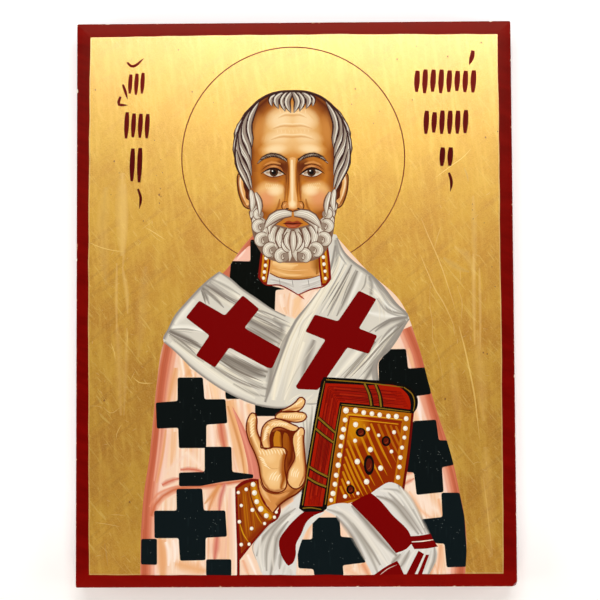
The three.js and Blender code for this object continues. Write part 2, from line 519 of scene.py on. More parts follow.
# Down both sides: how far in each soft stripe lies, its width, colour and cover.
SIDE_STRIPES = [
    (8.6, 5.0, (244, 206, 188), 0.8), (6.2, 4.8, (230, 156, 126), 0.9), (4.2, 4.8, (210, 118, 86), 1.0),
    (1.6, 7.0, (190, 92, 60), 1.0), (2.8, 3.0, (180, 80, 52), 0.7), (0.5, 2.0, (202, 110, 78), 0.7),
    (5.2, 1.8, (198, 104, 78), 0.5), (7.4, 1.8, (224, 146, 122), 0.5),
]
NECK_EDGE = [(-20, 40.3, 1), (-29, 30), (-36, 20), (-41.6, 16.2, 1), (-36, 13.2, 1), (-31, 20), (-24.5, 27),
             (-19.5, 32, 1)]
SLEEVE_SHADE = [
    (-34.6, -57, 1), (-31.4, -68), (-28, -80), (-26, -90), (-25.6, -98, 1), (-18, -98, 1), (-20.4, -88),
    (-25, -76), (-30, -65),
]
# Each fold's or wash's points, width, colour and cover.
ROBE_FOLDS = [
    ([(-65.5, -36), (-67.5, -45), (-70, -57)], 3.4, TAN, 0.9),
    ([(-57, -37), (-60, -41)], 3.4, TAN, 0.6),
    ([(-71, -70), (-72.5, -82), (-76, -99)], 1.6, TAN, 0.85),
    ([(-73.8, -66), (-75, -80), (-77.4, -98)], 1.6, (236, 173, 150), 0.9),
    ([(-63, -91.8), (-57, -91.4), (-50, -93.2)], 2.6, (208, 108, 82), 1.0),
    ([(-73, -100.2), (-68, -97.6), (-63.6, -96.6)], 3.2, (208, 106, 80), 1.0),
    ([(-60, -84), (-66, -88), (-72, -95)], 2.4, (245, 211, 188), 0.8),
    ([(-79, -117), (-76, -109.5), (-70, -104.2), (-63, -101.6), (-52, -101), (-40, -99.6), (-22, -97)], 3.6,
     (204, 107, 70), 1.0),
    ([(-80, -112), (-76, -105.5), (-69, -101.8), (-62, -100.2)], 1.6, (224, 139, 104), 0.9),
    ([(-77.4, -116), (-72, -108), (-65, -104)], 1.2, (238, 175, 144), 0.9),
    ([(-37, -57), (-33, -70), (-29.5, -83), (-28, -94)], 1.9, (212, 141, 82), 0.95),
    ([(-34, -59), (-29.6, -70), (-25.6, -82), (-22.6, -97)], 1.6, (232, 156, 132), 0.8),
    ([(-41, -66), (-40, -74), (-38.5, -81)], 5.4, (206, 110, 82), 1.0),
    ([(-34.5, -80), (-33.5, -88), (-32, -94)], 2.4, (238, 183, 144), 0.8),
    ([(-42, -100), (-46, -106), (-49.8, -110.5)], 2.2, (220, 151, 92), 0.95),
    ([(-41, -100), (-45.5, -108), (-47.8, -115)], 2.6, (220, 143, 88), 0.95),
    ([(-38.3, -99), (-41, -107), (-41.8, -115)], 3.0, (208, 118, 102), 1.0),
    ([(-35.6, -102), (-36.6, -114), (-36, -129)], 1.8, (241, 195, 172), 0.9),
    ([(-43, -128), (-43.6, -135), (-44.4, -141)], 4.0, (208, 112, 96), 1.0),
    ([(-47.6, -128), (-48, -141)], 2.0, (238, 177, 134), 0.9),
    ([(-38, -129), (-38.6, -141)], 1.2, (238, 183, 156), 0.9),
    ([(-74.5, -129), (-73, -139), (-73.4, MARK_FOOT)], 5.5, (230, 165, 112), 0.9),
    ([(-66, -143), (-58, -144.5), (-49, -147)], 6.5, (236, 177, 126), 0.8),
    ([(-71, -131), (-69, -137), (-69.6, -144)], 3.0, (255, 236, 222), 0.95),
    ([(-67, -130), (-65.8, -136), (-66.4, -142)], 2.6, (255, 236, 222), 0.95),
    ([(66.5, -51), (68, -58), (69, -66)], 2.2, (250, 232, 222), 0.9),
    ([(70, -51), (71.5, -58), (73, -66)], 2.4, (226, 151, 120), 0.9),
    ([(62, -26), (65, -37)], 2.6, (238, 187, 138), 0.9),
    ([(60, -94.5), (64.6, -93.2)], 2.6, (224, 139, 102), 1.0),
    ([(59.5, -100), (64.8, -97)], 2.4, (214, 119, 84), 0.9),
    ([(74, -133), (71.5, MARK_FOOT)], 3.4, (220, 135, 94), 0.95),
    ([(79, -133), (77, MARK_FOOT)], 2.6, (234, 169, 126), 0.9),
    ([(36, -143), (40, FOOT)], 4.0, (228, 153, 110), 0.95),
    ([(27, -146), (34, MARK_FOOT)], 3.4, (242, 193, 156), 0.9),
    ([(24, -118.5), (28, -124), (31.6, -130)], 1.6, (224, 143, 94), 0.9),
    ([(8, -117), (3, -123), (0.6, -130)], 1.2, (238, 171, 136), 0.9),
    ([(3, 4), (0, -2), (-1, -8)], 3.4, (244, 199, 150), 0.8),
    ([(-29, -141), (-27, -146), (-25.6, FOOT)], 2.6, (236, 170, 132), 0.9),
    ([(-26.4, -138), (-23.8, -144), (-21.4, FOOT)], 2.0, (255, 240, 228), 0.95),
]
ROBE_WASHES = [
    ([(-66, -24), (-67, -38), (-68, -54)], 6.4, (232, 171, 114), 0.85),
    ([(-71, -26), (-72.4, -40), (-73.6, -54)], 2.4, (253, 230, 208), 0.8),
    ([(-64, -26), (-60, -34), (-57, -41)], 9.0, (234, 177, 122), 0.9),
    ([(-63, -28), (-61, -40)], 2.8, (254, 238, 222), 0.9),
    ([(-58, -33), (-55.6, -41)], 2.4, (254, 238, 222), 0.9),
    ([(-46, -41), (-43, -53)], 7.0, (248, 207, 162), 0.9),
    ([(-36, -54), (-32, -70), (-27, -94)], 12.0, (236, 175, 118), 0.95),
    ([(-26, -56), (-23, -68), (-20, -84)], 6.0, (242, 191, 144), 0.9),
    ([(-46, -66), (-45, -80)], 5.0, (252, 228, 210), 0.9),
    ([(-70, -72), (-72, -84), (-76, -98)], 6.0, (242, 187, 152), 0.85),
    ([(-66, -71), (-66.6, -80), (-68, -90)], 4.0, (238, 179, 130), 0.8),
    ([(-60, -82), (-56, -86), (-52, -90)], 6.0, (252, 226, 204), 0.8),
    ([(-74, -108), (-72, -104), (-66, -101)], 5.0, (253, 232, 218), 0.9),
    ([(-46, -100), (-42, -120), (-40, MARK_FOOT)], 12.0, (240, 185, 148), 0.85),
    ([(-34, -102), (-33, -124), (-32.6, MARK_FOOT)], 4.0, (252, 230, 216), 0.9),
    ([(-74, -130), (-72, MARK_FOOT)], 9.0, (228, 163, 110), 0.9),
    ([(-64, -143), (-50, -147)], 9.0, (234, 175, 124), 0.9),
    ([(62, -22), (66, -36), (70, -52)], 6.0, (246, 207, 174), 0.9),
    ([(66, -52), (69, -66)], 5.0, (252, 232, 218), 0.9),
    ([(72, -52), (75, -66)], 5.0, (236, 165, 122), 0.95),
    ([(62, -98), (68, -108), (80, -116)], 10.0, (251, 226, 206), 0.9),
    ([(82, -78), (84, -92), (86, -104)], 4.0, (248, 213, 188), 0.9),
    ([(78, -108), (80, -118)], 3.4, (236, 169, 120), 0.8),
    ([(62, -104), (70, -116), (80, -121)], 3.0, (238, 179, 134), 0.7),
    ([(74, -133), (73, MARK_FOOT)], 7.0, (228, 151, 102), 0.95),
    ([(80, -134), (79, MARK_FOOT)], 3.0, (244, 193, 154), 0.9),
    ([(20, -130), (30, -146)], 10.0, (242, 195, 156), 0.8),
    ([(0, 2), (3, -4), (0, -9)], 7.0, (246, 201, 154), 0.9),
    ([(-8, 4), (-6, -3)], 5.0, (252, 228, 208), 0.9),
]
BLACK_CROSSES = [
    [(-24.3, 34.5), (-24.3, 22.5), (-35, 22.7), (-35.8, 13.5), (-30, 4), (-11, -8), (-10.5, 6.5), (-5, 7),
     (-15, 9.5), (-19, 13), (-18, 34.5)],
    [(-64.5, -41.3), (-50.6, -41.3), (-49.7, -53.3), (-38.2, -53.3), (-37.2, -66.5), (-48.7, -67.2),
     (-48.8, -80), (-63.8, -80), (-64.2, -68.8), (-75.9, -69.3), (-76.5, -55), (-64.5, -54.2)],
    [(-38.4, -49), (-36, -47.5), (-29.5, -53.2), (-38, -53.3)],
    [(-22, -55), (-4, -55), (-3.6, -59), (-7.5, -60.8), (-10, -62.7), (-22, -62.7)],
    [(-49.7, -79.3), (-35, -79.3), (-34.6, -93), (-23, -94.5), (-23.2, -96.5), (-40, -98.5), (-52, -100.7),
     (-63.8, -100.8), (-63.8, -93.3), (-49.7, -93)],
    [(-65.2, -102.2), (-51, -102), (-50.2, -114), (-38.4, -114), (-37.6, -128.3), (-49.2, -128.8),
     (-49.3, -141), (-63.2, -141.3), (-64, -129), (-77.2, -129), (-77.4, -114), (-65, -114)],
    [(-84.5, -129.3), (-75.8, -129.3), (-75.8, -143.5), (-84.6, -143.2)],
    [(-49, -140.5), (-35.2, -140.5), (-35.2, FOOT), (-49, FOOT)],
    [(45.8, -33.5), (51.6, -26.3), (61, -26.2), (62, -37), (72, -36.3), (74.5, -51), (66, -52.2), (46, -52)],
    [(64.5, -65.7), (77, -65), (78.5, -76.3), (83, -76.3), (86.5, -89.8), (80, -91), (80.8, -104.5),
     (66, -106), (64.7, -93.8), (60.5, -93.5)],
    [(79.5, -104.8), (89.5, -104.8), (92, -118), (93, -135), (92.8, -145), (82, -145.3), (81, -132.5),
     (76, -132.3), (68.5, -119.2), (80, -118)],
    [(9.2, -118), (24, -118), (24.5, -128.5), (31, -129), (38.2, -142.5), (25.5, -144), (26, FOOT),
     (10, FOOT), (9.5, -146), (1.3, -145.5), (0.8, -135), (1.3, -130), (9, -129.8)],
]


def robe():
    picture.within = area(ROBE, PALE)
    for one, other, count in ROBE_STREAKS:
        fan(one, other, count, 3.0, ROBE_TONES, 0.75)
        fan(one, other, count // 2, 0.9, [(238, 186, 148), (255, 240, 226), (234, 178, 130)], 0.7, loose=0.4)
    for points, width, colour, cover in ROBE_WASHES:
        haze(points, width, colour, cover, tip=0.7, tail=0.5)
    for side, inward in ((soft(LEFT_SIDE), 1), (soft(RIGHT_SIDE), -1)):
        for off, width, colour, cover in SIDE_STRIPES:
            haze(side + across(side) * off * inward, width, colour, cover, tip=0.9, tail=0.9)
        fan(side, side + across(side) * 5 * inward, 5, 1.7, [(188, 90, 64), (216, 132, 100)], 0.55, loose=0.5)
    area(NECK_EDGE, SALMON)
    fan(NECK_EDGE[:4], NECK_EDGE[:3:-1], 7, 1.5, [(186, 92, 62), (220, 136, 104), (208, 116, 86)], 0.9,
        loose=0.3)
    area([(-24.6, 31), (-30.5, 26), (-34, 22.8, 1), (-24.5, 22.4, 1)], (244, 190, 168))
    haze([(-27, 29), (-32, 23)], 2.2, (255, 226, 212), 0.9)
    area(SLEEVE_SHADE, (214, 118, 98), 0.9)
    for points, width, colour, cover in ROBE_FOLDS:
        haze(points, width * SPREAD, colour, cover, tip=0.7, tail=0.4)
    for cross in BLACK_CROSSES:
        low, high = min(p[1] for p in cross), max(p[1] for p in cross)
        left, right = min(p[0] for p in cross), max(p[0] for p in cross)
        tone = mix(INK, (11, 22, 25), min(1, max(0, -low / 150)))
        block(cross, tone)
        outline = np.array([complex(*p) for p in cross])
        for _ in range(int((right - left) * (high - low) / 90)):  # one worn patch to 90 square millimetres
            spot = complex(chance.uniform(left + 2, right - 2), chance.uniform(low + 2, high - 2))
            ends = np.array([spot, spot - 6j])
            if inside(outline, ends).all():
                haze(ends, 1.4, mix(tone, (60, 72, 72), 0.25), 0.5)
            for _ in range(2):
                speck = spot + complex(chance.uniform(-6, 6), chance.uniform(-4, 4))
                if inside(outline, np.array([speck]))[0]:
                    dot((speck.real, speck.imag), chance.uniform(0.14, 0.26), (132, 138, 132), 0.7, sides=5)
    picture.within = None


# The stole, white wool folded in grey, with a red cross on each side of the chest.
STOLE = [
    (-41.5, 17, 1), (-47, 13), (-60, 0), (-66, -7), (-70, -15), (-72.5, -20), (-72, -22, 1), (-65, -28),
    (-57, -36), (-50, -41.5), (-42, -47), (-33, -52), (-22, -56.5), (-8, -58.5), (0, -57.5), (12, -56, 1),
    (20, -50), (46, -45, 1), (46, -33), (52, -27), (57, -20), (61, -13), (63, -10, 1), (62, -7), (57, -2),
    (47, 10.5), (40, 17), (33, 22), (28, 27), (23, 37, 1), (16, 38, 1), (16.6, 24), (17.6, 14), (10, 2),
    (0, -9.5, 1), (-5, -7.5), (-12, -4), (-20, 1.5), (-30, 8.5), (-35, 13),
]
GREYS = [WOOL_GREY, (134, 125, 113), WOOL_DARK, (172, 164, 150)]
CREAMS = [(242, 234, 212), (234, 224, 198), (248, 242, 226), (222, 212, 188)]
# The folds between two guide lines: how many, their width and their tones.
STOLE_BANDS = [
    # left half, from its shoulder end to the middle
    ([(-70, -17), (-52, -25), (-30, -40), (-17, -53)],
     [(-70, -19), (-54, -33), (-34, -47), (-17, -55)], 8, 2.2, CREAMS),
    ([(-52, 8), (-38, -2), (-20, -12), (-4, -20)],
     [(-44, 13), (-30, 4), (-16, -4), (-1, -11)], 9, 1.8, CREAMS),
    ([(-49, 9.5), (-38, 1.5), (-26, -6), (-8, -16)],
     [(-47, 11.5), (-36, 4), (-20, -3), (-3, -11.5)], 5, 1.3, GREYS),
    ([(-27, -8), (-18, -13), (-6, -20)], [(-28, -14), (-18, -20), (-8, -26)], 8, 1.5, GREYS),
    ([(-24, -4), (-14, -8), (-2, -13)], [(-27, -9), (-16, -14), (-4, -18)], 5, 1.4, GREYS),
    ([(-44, -30), (-34, -36), (-18, -43)], [(-37, -26), (-28, -31), (-15, -38)], 9, 1.5, GREYS),
    ([(-48, -35), (-36, -42), (-18, -50)], [(-44, -31), (-32, -38), (-17, -45)], 5, 1.4, GREYS),
    ([(-69.5, -16), (-60, -19), (-50, -23)], [(-69.5, -17), (-62, -23), (-53, -29)], 5, 1.3, GREYS),
    ([(-69, -14), (-60, -13), (-50, -15)], [(-69.5, -15.5), (-60, -17), (-48, -19)], 3, 1.1, GREYS),
    # band over the right shoulder
    ([(22, 30), (14, 9), (-2, -18), (-15, -55)], [(27, 22), (20, 10), (8, -12), (-4, -55)], 16, 2.4, CREAMS),
    ([(24, 34), (24, 24), (12, 4)], [(31, 22), (27, 16), (13, -6)], 7, 1.5, CREAMS),
    ([(29, 19), (21, 6), (12, -8)], [(35, 19), (29, 6), (24, -10)], 8, 1.5, GREYS + CREAMS),
    ([(40, 13), (48, 6), (57, -4)], [(35, 7), (45, 0), (46, -16)], 10, 2.0, CREAMS + [(205, 199, 188)]),
    ([(45, -20), (36, -30), (24, -42)], [(60, -11), (47, -28), (36, -44)], 12, 1.8, CREAMS + GREYS[:2]),
    ([(2, -50), (-6, -54), (-9, -58)], [(15, -50), (12, -54), (8, -57)], 8, 2.0, CREAMS),
]
# Each wash's or fold's points, width, colour and cover.
STOLE_WASHES = [
    # left half: its light parts
    ([(-44, 12), (-34, 4), (-24, -2)], 7.0, (242, 237, 222), 0.95),
    ([(-56, 2), (-60, -4), (-66, -12)], 6.0, (238, 233, 220), 0.95),
    ([(-69, -13.6), (-58, -14), (-48, -16.4)], 3.4, (244, 240, 228), 1.0),
    ([(-68, -22), (-56, -31), (-42, -42), (-22, -53)], 5.0, (234, 228, 212), 0.95),
    ([(-24, -3), (-14, -8), (-2, -12)], 5.0, (216, 210, 196), 0.9),
    ([(-44, -33), (-30, -40), (-14, -45)], 3.4, (234, 228, 211), 0.95),
    ([(-38, -27), (-26, -31), (-16, -34)], 2.6, (228, 221, 204), 0.9),
    # left half: its folds
    ([(-42, -30.4), (-31, -36.2), (-16, -41)], 7.0, (124, 116, 106), 1.0),
    ([(-27, -10), (-16, -15), (-3, -21)], 8.0, (148, 141, 132), 0.9),
    ([(-47, 11), (-38, 5), (-29, -0.6)], 5.0, (150, 143, 134), 0.8),
    ([(-50, 10), (-40, 4), (-30, -1.6)], 3.4, (131, 122, 112), 0.95),
    ([(-46, 13), (-38, 9), (-30, 4)], 1.8, (164, 157, 144), 0.9),
    ([(-51, 8), (-48.6, 3), (-47, -1)], 2.2, (121, 112, 102), 0.9),
    ([(-51, 8.6), (-44, 2.6), (-39, -3)], 2.2, (126, 117, 106), 0.9),
    ([(-69, -15.4), (-60, -20), (-50, -26)], 4.0, (119, 110, 99), 1.0),
    ([(-69, -18), (-60, -25.6), (-50, -33)], 2.2, (146, 138, 126), 0.9),
    ([(-26, -9), (-16, -13.6), (-4, -19)], 4.4, (131, 123, 113), 0.95),
    ([(-24, -6), (-14, -9.6), (-2, -14)], 2.2, (153, 146, 135), 0.9),
    ([(-28, -14), (-18, -18.6), (-8, -23)], 3.0, (160, 153, 140), 0.9),
    ([(-12, -9), (-6, -16), (-10, -26)], 4.0, (135, 128, 119), 0.8),
    ([(-41, -29), (-30, -34), (-15, -38.6)], 5.0, (124, 115, 104), 1.0),
    ([(-46, -35), (-32, -42.4), (-15, -48)], 3.6, (144, 136, 124), 0.9),
    ([(-14, -30), (-13, -42), (-15.6, -52)], 5.0, (142, 134, 124), 0.9),
    ([(-34, -45), (-24, -50), (-16, -52)], 2.4, (158, 151, 139), 0.8),
    # the band that comes down from the right shoulder
    ([(26, 24), (19, 12), (8, -2), (-3, -18), (-9, -36), (-12, -54)], 9.0, (245, 236, 212), 1.0),
    ([(8, -16), (0, -34), (-5, -56)], 6.0, (226, 218, 198), 0.9),
    ([(5, -22), (-1, -38), (-6, -54)], 3.0, (245, 237, 216), 0.9),
    ([(31.4, 20.4), (25, 6), (18, -8)], 2.2, (139, 131, 121), 0.95),
    ([(34.6, 17), (29, 4), (23, -8)], 2.6, (130, 122, 112), 0.95),
    ([(37, 16), (32.6, 6), (29, -2)], 2.4, (238, 234, 222), 0.95),
    ([(28.6, 20), (22, 7), (15, -6)], 2.4, (240, 234, 218), 0.9),
    ([(10.6, -21), (6, -34), (3.6, -46)], 4.4, (148, 140, 130), 0.95),
    ([(3.6, -12), (1.6, -20)], 3.0, (202, 196, 182), 0.8),
    # the right shoulder and the point of its fold
    ([(41, 12), (50, 3), (60, -6)], 6.0, (224, 220, 209), 0.95),
    ([(42, 8), (48, 0), (56, -5.6)], 3.4, (240, 237, 227), 0.95),
    ([(41, 14), (42.6, 7), (41, 1)], 2.8, (144, 137, 127), 0.95),
    ([(44, 12), (50, 3), (61, -6.4)], 2.4, (148, 140, 130), 0.9),
    ([(46, 2), (51, -4.4), (62, -7.6)], 1.8, (144, 137, 127), 0.9),
    ([(40, -6), (50, -8), (61, -8.6)], 3.0, (240, 236, 226), 0.95),
    ([(62, -9), (52, -11), (44, -16.6)], 3.0, (131, 124, 114), 0.95),
    ([(61, -10.6), (52, -17), (46, -24)], 3.2, (135, 128, 118), 0.95),
    ([(60, -11), (54, -20), (48, -28)], 4.4, (144, 137, 127), 0.9),
    ([(56, -13.4), (47, -23), (38, -33)], 2.2, (238, 234, 222), 0.9),
    ([(44, -22), (37, -31), (27, -42)], 3.4, (130, 122, 111), 1.0),
    ([(38, -24), (30, -33), (22, -42)], 3.4, (242, 236, 218), 0.95),
    ([(50, -26), (43, -36), (37, -45)], 3.6, (135, 128, 118), 0.95),
    ([(33, -25), (26, -33), (18, -44)], 2.2, (208, 202, 186), 0.9),
    ([(46.4, -30), (45, -38), (45, -46)], 6.0, (142, 135, 126), 0.95),
    ([(41, -33), (37, -40), (33, -45)], 2.0, (230, 225, 212), 0.9),
    # behind the collar
    ([(19, 36), (19.6, 24), (19, 14)], 3.0, (216, 212, 202), 0.9),
    ([(22.6, 34), (23.4, 24), (20, 12)], 2.6, (151, 145, 135), 0.9),
    ([(25.4, 30), (26, 23), (22, 13)], 2.4, (234, 231, 221), 0.9),
]
STOLE_FOLDS = [
    ([(-51.5, 7), (-50, 3), (-49, -1)], 1.3, WOOL_DARK, 0.9),
    ([(-52, 7.4), (-46, 3.5), (-40, -2)], 1.2, WOOL_GREY, 0.9),
    ([(-49, 9.6), (-42, 5), (-35, -0.5)], 1.4, (128, 118, 108), 0.9),
    ([(-70, -15.8), (-60, -20), (-50, -25.5)], 1.4, (120, 110, 100), 0.95),
    ([(-70, -16.4), (-61, -22.6), (-53, -30)], 1.2, (134, 125, 114), 0.9),
    ([(-69.5, -15), (-60, -14.6), (-52, -16)], 1.0, (168, 160, 148), 0.9),
    ([(-27, -9), (-16, -15), (-6, -22)], 1.1, (122, 112, 103), 0.9),
    ([(-26, -6), (-16, -10.5), (-4, -17)], 1.0, (132, 123, 113), 0.9),
    ([(-24, -3), (-13, -7), (-2, -12)], 1.0, (142, 134, 124), 0.9),
    ([(-42, -31), (-31, -38), (-17, -44)], 1.2, (118, 106, 94), 0.95),
    ([(-40, -28), (-29, -34), (-16, -40)], 1.1, (128, 118, 106), 0.9),
    ([(-45, -35), (-34, -42), (-18, -49)], 0.9, (150, 141, 130), 0.9),
    ([(0, -11), (-6, -22), (-12, -37), (-17, -54)], 2.2, (150, 142, 131), 0.8),
    ([(27.5, 21), (24, 14), (14, -3)], 1.0, WOOL_GREY, 0.9),
    ([(31.5, 20), (26, 10), (17, -5)], 1.1, WOOL_DARK, 0.9),
    ([(34, 18), (31, 12), (27, 4)], 1.0, WOOL_GREY, 0.9),
    ([(28.5, 20.5), (24.5, 27), (23.4, 33)], 1.2, (158, 152, 143), 0.9),
    ([(39.5, 15), (38, 8), (35.5, 5)], 1.1, WOOL_GREY, 0.9),
    ([(41.5, 14), (42.6, 8), (41, 3.5)], 1.3, (168, 161, 150), 0.9),
    ([(42, 14), (48, 4), (52, -2), (62, -7.8)], 1.4, (176, 169, 158), 0.9),
    ([(45, 2), (50, -5), (57, -8), (62.6, -8.4)], 1.2, (162, 155, 145), 0.9),
    ([(62.5, -8.6), (54, -9.5), (45, -14), (38, -19)], 1.2, (138, 130, 121), 0.95),
    ([(61, -10.5), (52, -16), (45.5, -24)], 1.3, (150, 142, 132), 0.9),
    ([(60, -12), (49, -22), (38, -34), (29, -43)], 1.3, (128, 119, 108), 0.95),
    ([(57.5, -17), (46, -30), (34, -43)], 1.4, (154, 146, 136), 0.9),
    ([(52.5, -24), (42, -37), (38, -44)], 1.6, (140, 133, 124), 0.9),
    ([(46.5, -30), (43.6, -38), (43, -45)], 3.4, (158, 150, 141), 0.95),
    ([(10.4, -5), (4, -12), (1.6, -20)], 1.0, (208, 200, 184), 0.9),
    ([(16, -22), (7, -36), (1, -46)], 1.1, (196, 188, 172), 0.9),
    ([(12, -22), (2, -36), (-6, -52)], 1.0, (206, 198, 180), 0.9),
]
STOLE_RIM = [
    ([(-41.5, 17), (-47, 13), (-60, 0), (-66, -7), (-70, -15), (-72.4, -20)], 2.0),
    ([(-72, -22), (-65, -28), (-57, -36), (-50, -41.5), (-42, -47), (-33, -52), (-22, -56.5)], 1.6),
    ([(-22, -56.5), (-8, -58.5), (0, -57.5)], 1.1),
    ([(-41, 16.6), (-35, 12.6), (-30, 8.2), (-20, 1.2), (-12, -4.2), (-5, -7.7)], 1.0),
    ([(22.6, 31), (19.5, 17), (10, 2), (0, -11.5), (-7, -28), (-12, -42), (-16.5, -55)], 1.0),
    ([(24, 35.5), (28, 27), (33, 22), (40, 17), (47, 10.5), (52, 4), (57, -2), (62.6, -8)], 2.4),
    ([(63, -10), (60.6, -13), (56.4, -20), (51.6, -27), (46, -33), (45.8, -44)], 1.5),
]
RED_CROSSES = [
    [(-52.5, 1), (-38.5, -7.3), (-28.5, 3.8), (-19.5, -3.8), (-27.7, -14.2), (-7.7, -25.8), (-12.5, -36.5),
     (-15, -36.3), (-36, -25), (-44, -36), (-54.5, -29.3), (-47, -18.3), (-60, -8.3)],
    [(35.3, 6), (45, 1.3), (35.2, -14.8), (45.3, -18.8), (40.5, -28.9), (28.8, -25.3), (17.5, -41.5),
     (12.5, -48.5), (1.5, -48), (0.3, -46.5), (16.8, -21), (5.7, -16.5), (11, -7), (23.7, -10.8)],
]
STRIP_BELOW = [
    (-5, -56, 1), (13.5, -55, 1), (12, -64), (8, -86), (4, -106), (3, -113.5, 1), (-3, -112), (-4, -104),
    (-2, -90),
]


def stole():
    area(STRIP_BELOW, (226, 220, 206))
    fan([(3, -57), (5, -80), (0, -112)], [(13, -56), (8.5, -80), (3, -112)], 9, 1.6, CREAMS + GREYS[:1], 0.8)
    picture.within = area(STOLE, WOOL)
    for points, width, colour, cover in STOLE_WASHES:
        haze(points, width * 1.3, colour, cover, tip=0.6, tail=0.3)
    for one, other, count, width, tones in STOLE_BANDS:
        fan(one, other, count // 2, width, tones, 0.55)
        fan(one, other, count, 0.45, tones + [(236, 232, 220)], 0.7, loose=0.4, hazy=False)
    for points, width, colour, cover in STOLE_FOLDS:
        mark(points, width * 0.85, colour, cover * 0.8, tip=0.3)
    for points, width in STOLE_RIM:
        haze(points, width * 2.4, (146, 138, 128), 1.0, tip=0.8, tail=0.8)
        mark(points, width * 1.1, (148, 141, 132), 0.8, tip=0.7, tail=0.7)
    picture.within = None
    haze([(6, -56), (10, -56.2), (13, -55.8)], 1.4, (150, 143, 133), 0.9)
    for cross in RED_CROSSES:
        block(cross, RED)


# The book in the left hand.
BOOK_OUTLINE = [
    (14.2, -44, 1), (15.6, -41.4, 1), (38, -42.9), (58, -45.3), (64.1, -48.2), (67.1, -53.6), (66.6, -58.8),
    (64.6, -61.6, 1), (45, -59.4), (25.7, -57.4, 1), (21.2, -84), (17, -113.2, 1), (15, -114.8, 1),
    (4.4, -115, 1), (1.8, -113, 1), (5.2, -94), (10, -66), (12, -55),
]
PAGE_EDGES = [
    (16.8, -44.8, 1), (38, -46), (58.4, -48), (62.2, -52.4), (63.2, -57), (63, -59.4, 1), (45, -57.2),
    (24.4, -55.2, 1), (19.6, -82), (14.6, -112, 1), (4.6, -111.8, 1), (8, -92), (12.6, -66),
]
STRAPS = [
    [(38, -45), (40.6, -51), (41.7, -57.2)], [(44, -45.6), (46.2, -51.6), (47, -58)],
    [(12.4, -63.4), (17, -67.6), (22, -72)], [(11, -69.6), (15.6, -73.4), (20.8, -77.2)],
    [(7.2, -90.2), (12, -93.2), (17.6, -96)], [(5.8, -95.7), (11, -99), (16.8, -101.4)],
]
BOOK_LINES = [
    [(3.7, -111.4), (7.5, -88), (12.2, -62), (16.2, -43.6)], [(17, -42.9), (38, -44.6), (59, -47.2)],
    [(59.5, -47.2), (64, -50.8), (65.4, -56), (64.6, -60.4)], [(16.2, -111), (20, -84), (24.8, -57.4)],
    [(25.4, -56.5), (45, -58.5), (63, -60.7)], [(3.8, -113), (8, -112.7), (14, -113.7)],
]
BINDING_PEARLS = [
    (27.8, -59.8, 1.6), (33, -59.8, 1.4), (37.5, -61, 1.3), (42, -61.6, 1.3), (46.2, -62.3, 1.3),
    (51, -63, 1.3), (55.3, -63.2, 1.4), (60.7, -64.4, 1.3), (27.3, -65, 1.3), (26.4, -70.1, 1.4),
    (25.5, -74.3, 1.4), (24.8, -79.2, 1.2), (24.1, -84.2, 1.4), (23.3, -89.6, 1.4), (22.2, -95.1, 1.3),
    (21.5, -100, 1.3), (20.4, -105, 1.4), (19.4, -108.6, 1.1), (60.2, -69.7, 1.3), (59.6, -74.7, 1.1),
    (58.3, -80.2, 1.1), (57.4, -85.6, 1.2), (56.8, -90.7, 1.2), (56, -96.4, 1.2), (33, -67.5, 1.4),
    (39.8, -70, 1.1), (32.7, -76.3, 1.1), (45.6, -73.4, 0.9), (54, -71.8, 1.1), (41, -81.2, 1.4),
    (52.5, -82.3, 1), (33.8, -87.7, 1.5), (46.5, -91.3, 1.4), (28.8, -99.1, 0.9), (38.8, -98.7, 1.5),
    (27, -106.6, 1.1), (34, -105, 0.9),
]
GARNETS = [(35.8, -71.8, 2.8, 2.5), (49.6, -76.6, 2.5, 2.8), (40.2, -89.6, 2.9, 5.5), (30, -102.9, 2.3, 2.5)]
COVER_LINES = [
    ([(29.8, -62.9), (44, -64.4), (58.4, -66.2)], 0.8, (132, 28, 6)),
    ([(29.7, -62.9), (25.6, -88), (22.2, -110.6)], 0.8, (132, 28, 6)),
    ([(31.2, -64.6), (44, -66), (56.4, -67.4)], 0.5, (216, 150, 20)),
    ([(28.6, -62), (44, -63.2), (58.6, -65)], 0.6, (222, 160, 30)),
    ([(28.4, -62.2), (24.5, -87), (21, -110)], 0.6, (214, 148, 24)),
]
# Where the gold streaks over the cover start, along its side and its top. The last few are duller.
STREAKS_AT_SIDE = [
    (24.4, -101), (25.2, -97), (25.8, -93), (26.5, -89), (27.2, -85), (27.9, -80.6), (28.6, -76), (30, -71.5),
]
STREAKS_AT_TOP = [(34, -69), (37.4, -67.4), (41.4, -67), (45.4, -67.2), (49, -67.6), (52, -68), (55, -68.4)]
BRIGHT_STREAKS = 11
# How far across the page edges each shade lies, its colour and its width.
PAGE_SHADES = [
    (0.06, (118, 8, 3), 1.6), (0.15, (168, 36, 8), 1.8), (0.26, (96, 4, 2), 1.3), (0.34, (150, 20, 5), 2.0),
    (0.44, (120, 8, 3), 1.0), (0.52, (172, 38, 8), 2.2), (0.62, (104, 4, 2), 1.2), (0.71, (152, 22, 5), 2.0),
    (0.82, (112, 6, 3), 1.1), (0.92, (166, 34, 8), 1.6),
]


def pearl(x, y, radius):
    dot((x, y), (radius, radius * 1.06), PEARL, sides=10)
    dot((x - 0.2 * radius, y + 0.2 * radius), radius * 0.55, (252, 248, 232), sides=7)


